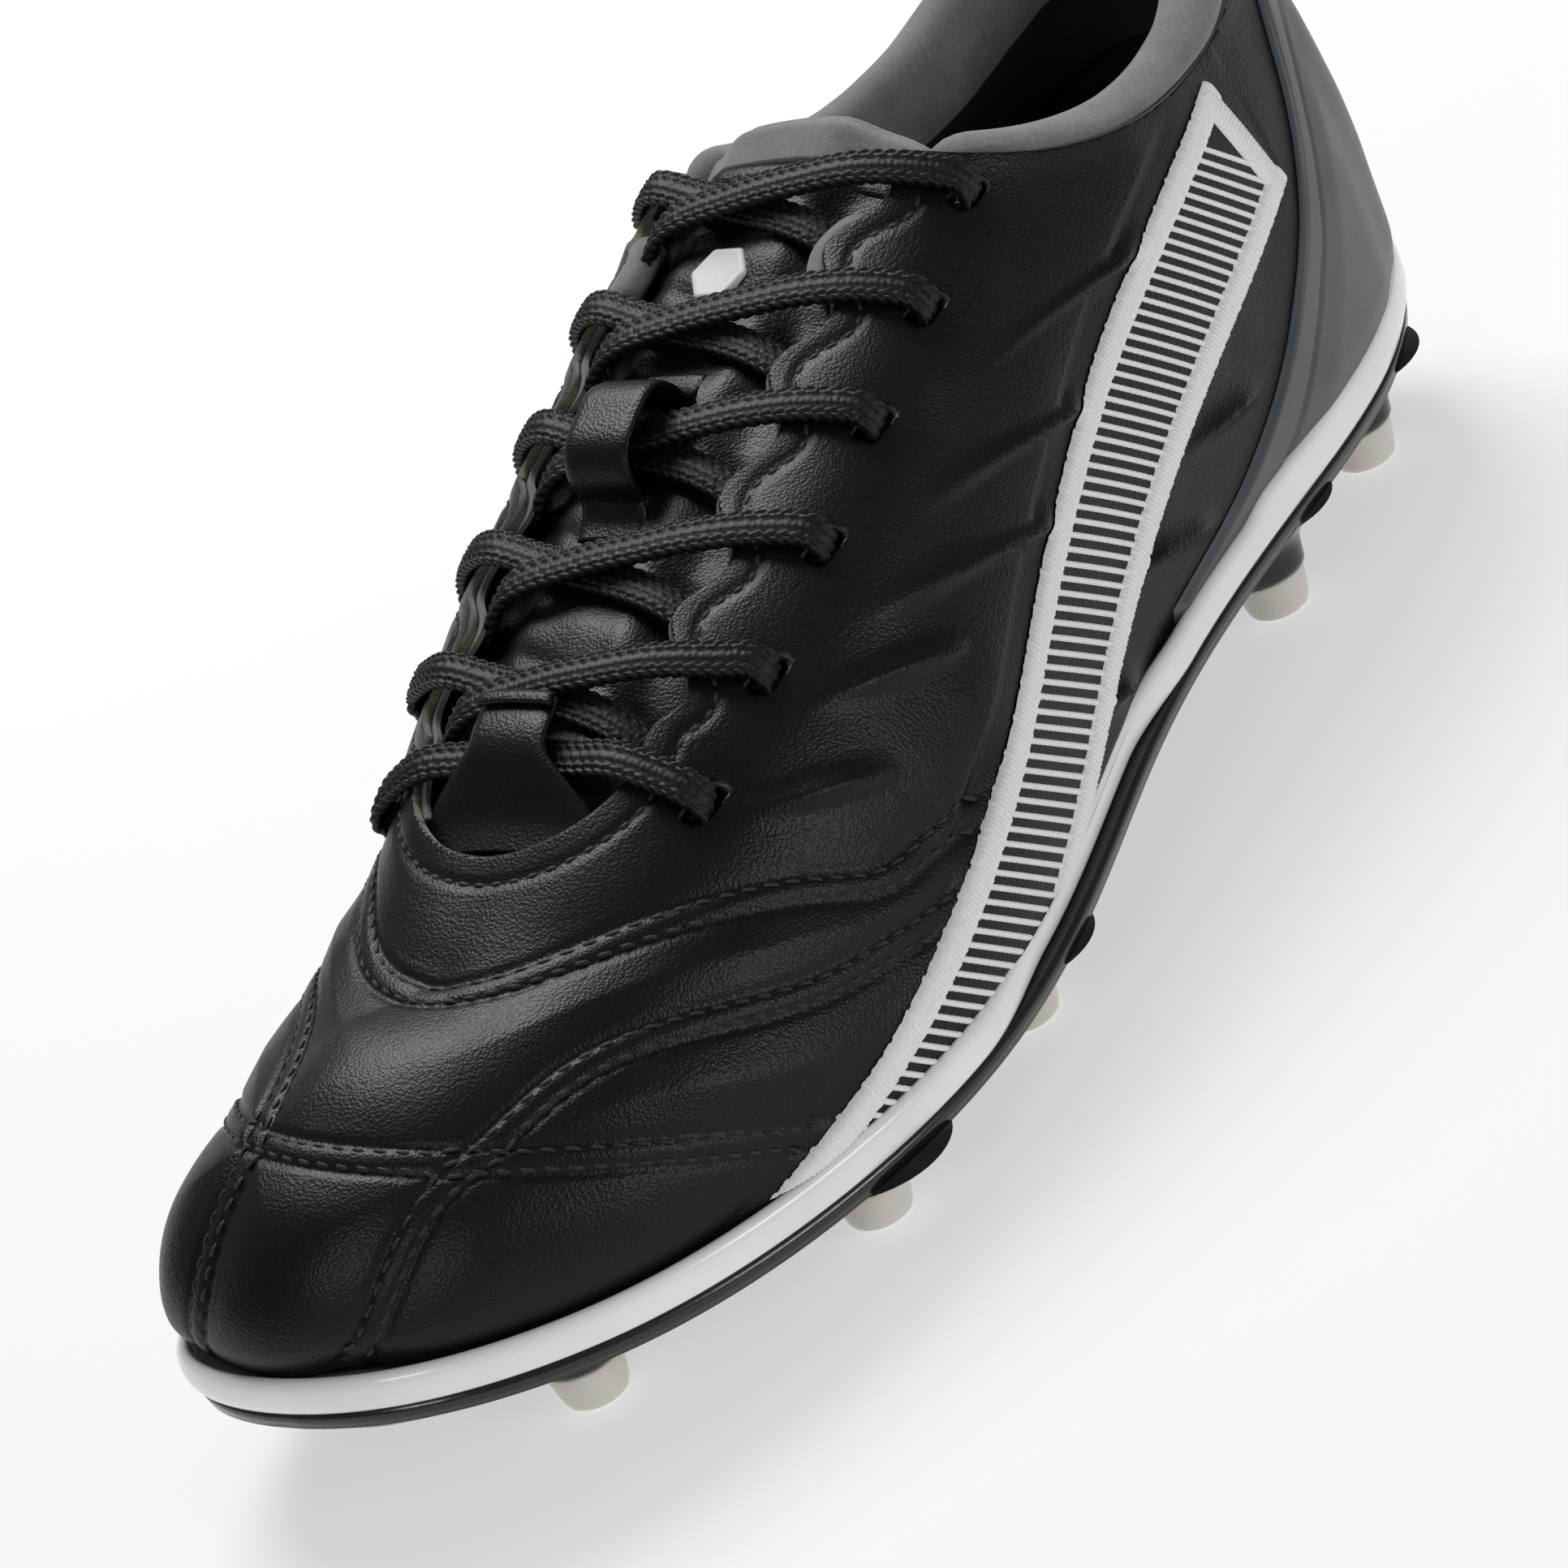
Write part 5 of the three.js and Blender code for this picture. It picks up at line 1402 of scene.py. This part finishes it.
def build_eyestay_backers():
    """Grey strips under the eyelets; their edge shows along the throat."""
    for name, side in (("lateral", 1), ("medial", -1)):
        s = np.arange(EYELET_S - 8, THROAT_BACK, 1.2)
        edge = throat_arc(s, side)
        arc = mix((edge - 1.1)[:, None], 43.5, np.linspace(0, 1, 16)[None])
        up = LEATHER_MAP.rib(s, side)[:, None] - arc
        top, under = (LEATHER_MAP.at(s[:, None], up, side, -LEATHER - depth) for depth in (0.1, 0.9))
        faces = grid_faces(*arc.shape)
        slots, _ = slot_fields(top.reshape(-1, 3))
        shape = Shape().clipped(top, slots, faces).clipped(under, slots, faces[:, ::-1])
        for row in (0, -1):
            shape.sheet(np.stack([top[:, row], under[:, row]], 1))
            shape.sheet(np.stack([top[row], under[row]], 1))
        make("eyestay_lining_" + name, shape, [THROAT_EDGE],
             replaces=["eyestay_backer_" + name], outward=False)


def throat_arc(s, side):
    """Distance from the ridge down to the throat's edge, along the leather."""
    arcs = np.linspace(8, 38, 60)
    points = instep(np.repeat(s, 60), side * np.tile(arcs, len(s))).reshape(len(s), 60, 3)
    field = throat_field(points)
    return np.array([np.interp(0, f, arcs) for f in field])


# ------------------------------------------------------------------ collar
def collar_line():
    """The leather's top edge from the outer side of the throat, round the heel, to the inner side."""
    halves = []
    for side in (1, -1):
        s = np.arange(161, 177, 1.5)
        throat = instep(s, side * throat_arc(s, side))
        s = np.concatenate([np.arange(THROAT_BACK, 262, 3.0), [264, 267, 270, 273, 276, 279, 281.5, 283.4]])
        top = []
        for value in s:
            t = outline_t(value, side)
            h = np.linspace(0.2, 1, 400)
            path = last(np.full(400, float(t)), h)
            top.append(path[np.argmax(collar_field(path) < 0)])
        halves.append(np.concatenate([throat, np.array(top)]))
    line = np.concatenate([halves[0], halves[1][::-1]])
    for _ in range(3):
        line[1:-1] = (line[:-2] + 2 * line[1:-1] + line[2:]) / 4
    return resample(line, 0.9)


# radius of the roll at the throat and the sides, what the heel adds to it, and the depth of the pad inside
ROLL_FRONT, ROLL_SIDE, ROLL_HEEL = 2.3, 3.7, 1.3
PAD_FRONT, PAD_SIDE = 6.0, 24.0
# the pad's inner face, as (share of its depth, distance in from the roll), and its back, in from the leather
PAD_INSIDE = ((0.12, 0.15), (0.3, 0.5), (0.5, 0.75), (0.7, 0.55), (0.88, 0.0), (0.97, -0.8), (1.0, -1.9))
PAD_BACK = ((0.99, 2.9), (0.8, 2.1), (0.5, 1.7), (0.3, 1.6), (0.12, 1.6))
DARK_COLUMNS = range(18, 28)


def build_collar():
    """Padded suede collar: a roll over the leather's edge and a pad inside it."""
    curve = collar_line()
    skin = Skin(*whole_last(150, 60)[::2])
    _, normal = skin.snap(curve)
    for _ in range(6):
        normal[1:-1] = normal[:-2] + 2 * normal[1:-1] + normal[2:]
        normal = unit(normal)
    tangent = unit(np.gradient(curve, axis=0))
    away = unit(np.cross(normal, tangent))
    s = station(curve)
    radius = mix(ROLL_FRONT, ROLL_SIDE, smoothstep(s, 172, 190)) + ROLL_HEEL * smoothstep(s, 205, 268)
    drop = mix(PAD_FRONT, PAD_SIDE, smoothstep(s, 186, 204))
    ends = np.minimum(np.arange(len(s)), np.arange(len(s))[::-1]) * 0.9
    closing = np.sqrt(np.clip(ends / 2.2, 0.05, 1))
    phi = np.linspace(-90, 90, 15) * np.pi / 180
    rows = []
    for r, d, c in zip(radius * closing, drop, closing):
        over = [(1.35 * r * np.cos(a) + 0.3, 0.25 + r + r * np.sin(a)) for a in phi]
        inside = [(-d * f, 0.25 + 2 * r + g * c) for f, g in PAD_INSIDE]
        back = [(-d * f, max(1.7, g)) for f, g in PAD_BACK]
        rows.append([(-1.2, 1.55), (0.1, 1.5)] + over + inside + back)
    section = np.array(rows)
    rings = curve[:, None] + away[:, None] * section[..., :1] - normal[:, None] * section[..., 1:]
    shape = Shape().tube(rings)
    columns = rings.shape[1]
    shape.mats = [int(k % columns in DARK_COLUMNS) for k in range((len(rings) - 1) * columns)] + [0, 0]
    piece = make("collar_pad", shape, [GREY_SUEDE, DARK_LINING],
                 replaces=["collar_lining", "collar_foam"])
    puff(piece, 3.5, 0.9)


PUFF_FRAMES = 14


def puff(piece, pressure, cap_mm):
    """Fills a closed soft piece with Blender's cloth, limited to small moves, and keeps the result."""
    scene = bpy.context.scene
    cloth = modifier(piece, "CLOTH")
    cloth.settings.quality = 4
    cloth.settings.mass = 0.2
    cloth.settings.use_pressure = True
    cloth.settings.uniform_pressure_force = pressure
    cloth.settings.tension_stiffness = cloth.settings.compression_stiffness = 12
    cloth.settings.bending_stiffness = 0.6
    cloth.settings.effector_weights.gravity = 0
    cloth.collision_settings.use_collision = False
    for frame_number in range(1, PUFF_FRAMES + 1):
        scene.frame_set(frame_number)
    graph = bpy.context.evaluated_depsgraph_get()
    moved = piece.evaluated_get(graph).to_mesh()
    count = len(piece.data.vertices)
    before, after = np.zeros(count * 3), np.zeros(count * 3)
    piece.data.vertices.foreach_get("co", before)
    moved.vertices.foreach_get("co", after)
    shift = (after - before).reshape(-1, 3)
    shift -= shift.mean(0)
    size = np.linalg.norm(shift, axis=1, keepdims=True)
    limit = cap_mm * 0.001
    shift *= limit * np.tanh(size / limit) / np.maximum(size, 1e-12)
    piece.modifiers.remove(cloth)
    piece.data.vertices.foreach_set("co", (before.reshape(-1, 3) + shift).ravel())
    piece.data.update()
    scene.frame_set(1)


# ------------------------------------------------------------------ tongue
def tongue_top(arc):
    return mix(-3.0, -5.6, smoothstep(np.abs(arc), 8.5, 17))


def tongue_half(s):
    return mix(20.0, 34.0, smoothstep(s, 64, 110))


def tongue_thick(arc):
    return mix(4.2, 2.6, smoothstep(np.abs(arc), 10, 31))


def tongue_grid(s, share, lift):
    """Grid over the tongue; share runs from its inner edge (-1) to its outer edge (1)."""
    s, share = np.broadcast_arrays(s[:, None], share[None])
    arc = share * tongue_half(s)
    return instep(s, arc, lift(arc, s))


def tongue_part(name, s, share, over, below, material, replaces):
    """Padded part of the tongue between two heights over the last."""
    shape = Shape().slab(tongue_grid(s, share, over), tongue_grid(s, share, below))
    piece = make(name, shape, [material], body="tongue", replaces=replaces)
    return piece


def tongue_wrinkles(s, arc):
    """Soft folds across the tongue, deepest between the lace crossings."""
    total = np.zeros_like(s)
    for row in range(EYELETS):
        middle = EYELET_S + EYELET_PITCH * (row + 0.02)
        sway = 2.2 * np.sin(arc / 6.5 + row * 1.7)
        total += 0.75 * np.exp(-((s - middle - sway) / 4.6) ** 2)
        total -= 0.55 * np.exp(-((s - middle - 6.5 - 0.6 * sway) / 1.5) ** 2)
        total -= 0.35 * np.exp(-((s - middle + 5.2 + 0.35 * arc) / 1.2) ** 2)
    return total * (1 - smoothstep(np.abs(arc), 16, 28))


def build_tongue():
    """Black leather pad of the tongue, thinner towards its edges and its root."""
    s, share = np.arange(62, TONGUE_END + 0.01, 0.9), np.linspace(-1, 1, 72)

    def root(s):
        return mix(-0.9, 0.0, smoothstep(s, 66, 76))

    def edge(arc, s):
        return smoothstep(tongue_half(s) - np.abs(arc), 0, 2.4)

    def over(arc, s):
        noise = 0.3 * value_noise(np.stack([s, arc, 0 * s], -1), 6, 11)
        return tongue_top(arc) + root(s) + tongue_wrinkles(s, arc) + noise - 0.9 * (1 - edge(arc, s))

    def below(arc, s):
        return tongue_top(arc) + root(s) - tongue_thick(arc) + 0.5 * (1 - edge(arc, s))

    piece = tongue_part("tongue_pad", s, share, over, below, BLACK_LEATHER, ["tongue"])
    puff(piece, 3.0, 0.5)


def build_tongue_binding():
    """Grey top of the tongue: cut foam covered in suede, behind a turned leather hem."""
    s, share = np.linspace(TONGUE_END + 0.2, TONGUE_END + 8.2, 22), np.linspace(-1, 1, 60)

    def over(arc, s):
        round_off = smoothstep(s, TONGUE_END + 4.5, TONGUE_END + 8.4)
        return tongue_top(arc) + 0.6 - 1.7 * round_off ** 2 + 0.35 * np.sin(arc / 5.2)

    def below(arc, s):
        round_off = smoothstep(s, TONGUE_END + 5, TONGUE_END + 8.4)
        return tongue_top(arc) - tongue_thick(arc) - 0.3 + 1.3 * round_off ** 2 + 0.35 * np.sin(arc / 5.2)

    tongue_part("tongue_top_roll", s, share, over, below, GREY_SUEDE, ["tongue_binding"])
    rows = []
    for angle in np.linspace(0, 2 * np.pi, 13)[:-1]:
        middle = np.array([TONGUE_END - 1.6 + 1.7 * math.cos(angle)])
        rise = 0.75 * math.sin(angle)
        rows.append(tongue_grid(middle, share * 0.84, lambda arc, s: tongue_top(arc) - 0.1 + rise)[0])
    make("tongue_hem", Shape().tube(np.stack(rows, 1)), [BLACK_LEATHER], body="tongue")


STRAP_THICK = 1.2
# (s, underside) of both straps along the ridge
KEEPER = [
    (119, -3.4), (122, -2.9), (124.6, -1.0), (125.4, 2.4), (127.6, 5.4), (133, 6.2), (138.4, 5.4),
    (140.6, 2.4), (141.4, -1.0), (144, -2.9), (147, -3.4),
]
TAB = [
    (65.5, -3.3), (68.5, -3.0), (71.5, -2.4), (74.5, -1.0), (77.5, 0.8), (82, 2.2), (86, 2.0),
    (88.3, 2.2), (89.2, 3.2), (88.4, 4.2), (86.6, 4.3),
]


def strip(name, places, half_wide, body, replaces, sag):
    """Leather strip along the ridge through (s, underside) places, with rounded edges and cut sides."""
    s, up = np.array(places, float).T
    path = resample(instep(s, np.full(len(s), 0.01), up), 0.4)
    share = np.linspace(0, 1, 70)
    path = read_rows(share, np.linspace(0, 1, len(path)), path)
    tangent = unit(np.gradient(path, axis=0))
    normal = unit(np.cross((1.0, 0, 0), tangent))
    half = np.array([half_wide(u) for u in share])
    across = np.linspace(-1, 1, 25)
    soft_edge = 0.35 * np.maximum(np.abs(across) - 0.8, 0)[None, :, None] / 0.2
    spread = path[:, None] + half[:, None, None] * across[None, :, None] * np.array([1.0, 0, 0])
    spread[..., 2] -= sag * (half[:, None] * across) ** 2
    top = spread + normal[:, None] * (STRAP_THICK - soft_edge)
    under = spread + normal[:, None] * (0.05 + soft_edge * 0.5)
    make(name, Shape().slab(top, under), [BLACK_LEATHER], body=body, replaces=replaces)


def tab_half(u):
    return 15.0 - 8.4 * float(smoothstep(u, 0.2, 0.6)) - 6 * (1 - float(smoothstep(u, -0.1, 0.12)))


def build_straps():
    strip("lace_keeper", KEEPER, lambda u: 5.7, "tongue", ["tongue_keeper"], 0.003)
    strip("front_tab", TAB, tab_half, "boot", ["throat_tab"], 0.009)


def build_badge():
    """Plain white hexagon welded to the tongue."""
    centre = instep(164.2, 0.01, -2.35)
    ahead = unit(instep(166.2, 0.01, -2.35) - centre)
    across = np.array([1.0, 0, 0])
    normal = np.cross(across, ahead)
    rings = []
    for radius, lift in ((5.1, -0.9), (5.1, 0.35), (4.9, 0.6), (4.5, 0.72), (3.9, 0.66), (3.7, 0.62)):
        corners = [(math.cos(a) * radius, math.sin(a) * radius) for a in np.arange(6) * math.pi / 3]
        ring = []
        for (x0, y0), (x1, y1) in zip(corners, corners[1:] + corners[:1]):
            ring += [(mix(x0, x1, f), mix(y0, y1, f)) for f in (0.06, 0.35, 0.65, 0.94)]
        rings.append([centre + across * x + ahead * y + normal * lift for x, y in ring])
    shape = Shape().tube(np.array(rings))
    make("tongue_hexagon", shape, [BADGE], body="tongue", replaces=["tongue_badge"])


def dress_aglets():
    for name in ("aglet_medial", "aglet_lateral"):
        for holder in bpy.data.objects[name].material_slots:
            holder.material = AGLET


build_stitches()
build_band("outer_band", 1)
build_band("inner_band", -1)
build_counter()
build_rim()
build_plate()
build_tips()
build_inside()
build_eyestay_backers()
build_collar()
build_tongue()
build_tongue_binding()
build_straps()
build_badge()
dress_aglets()
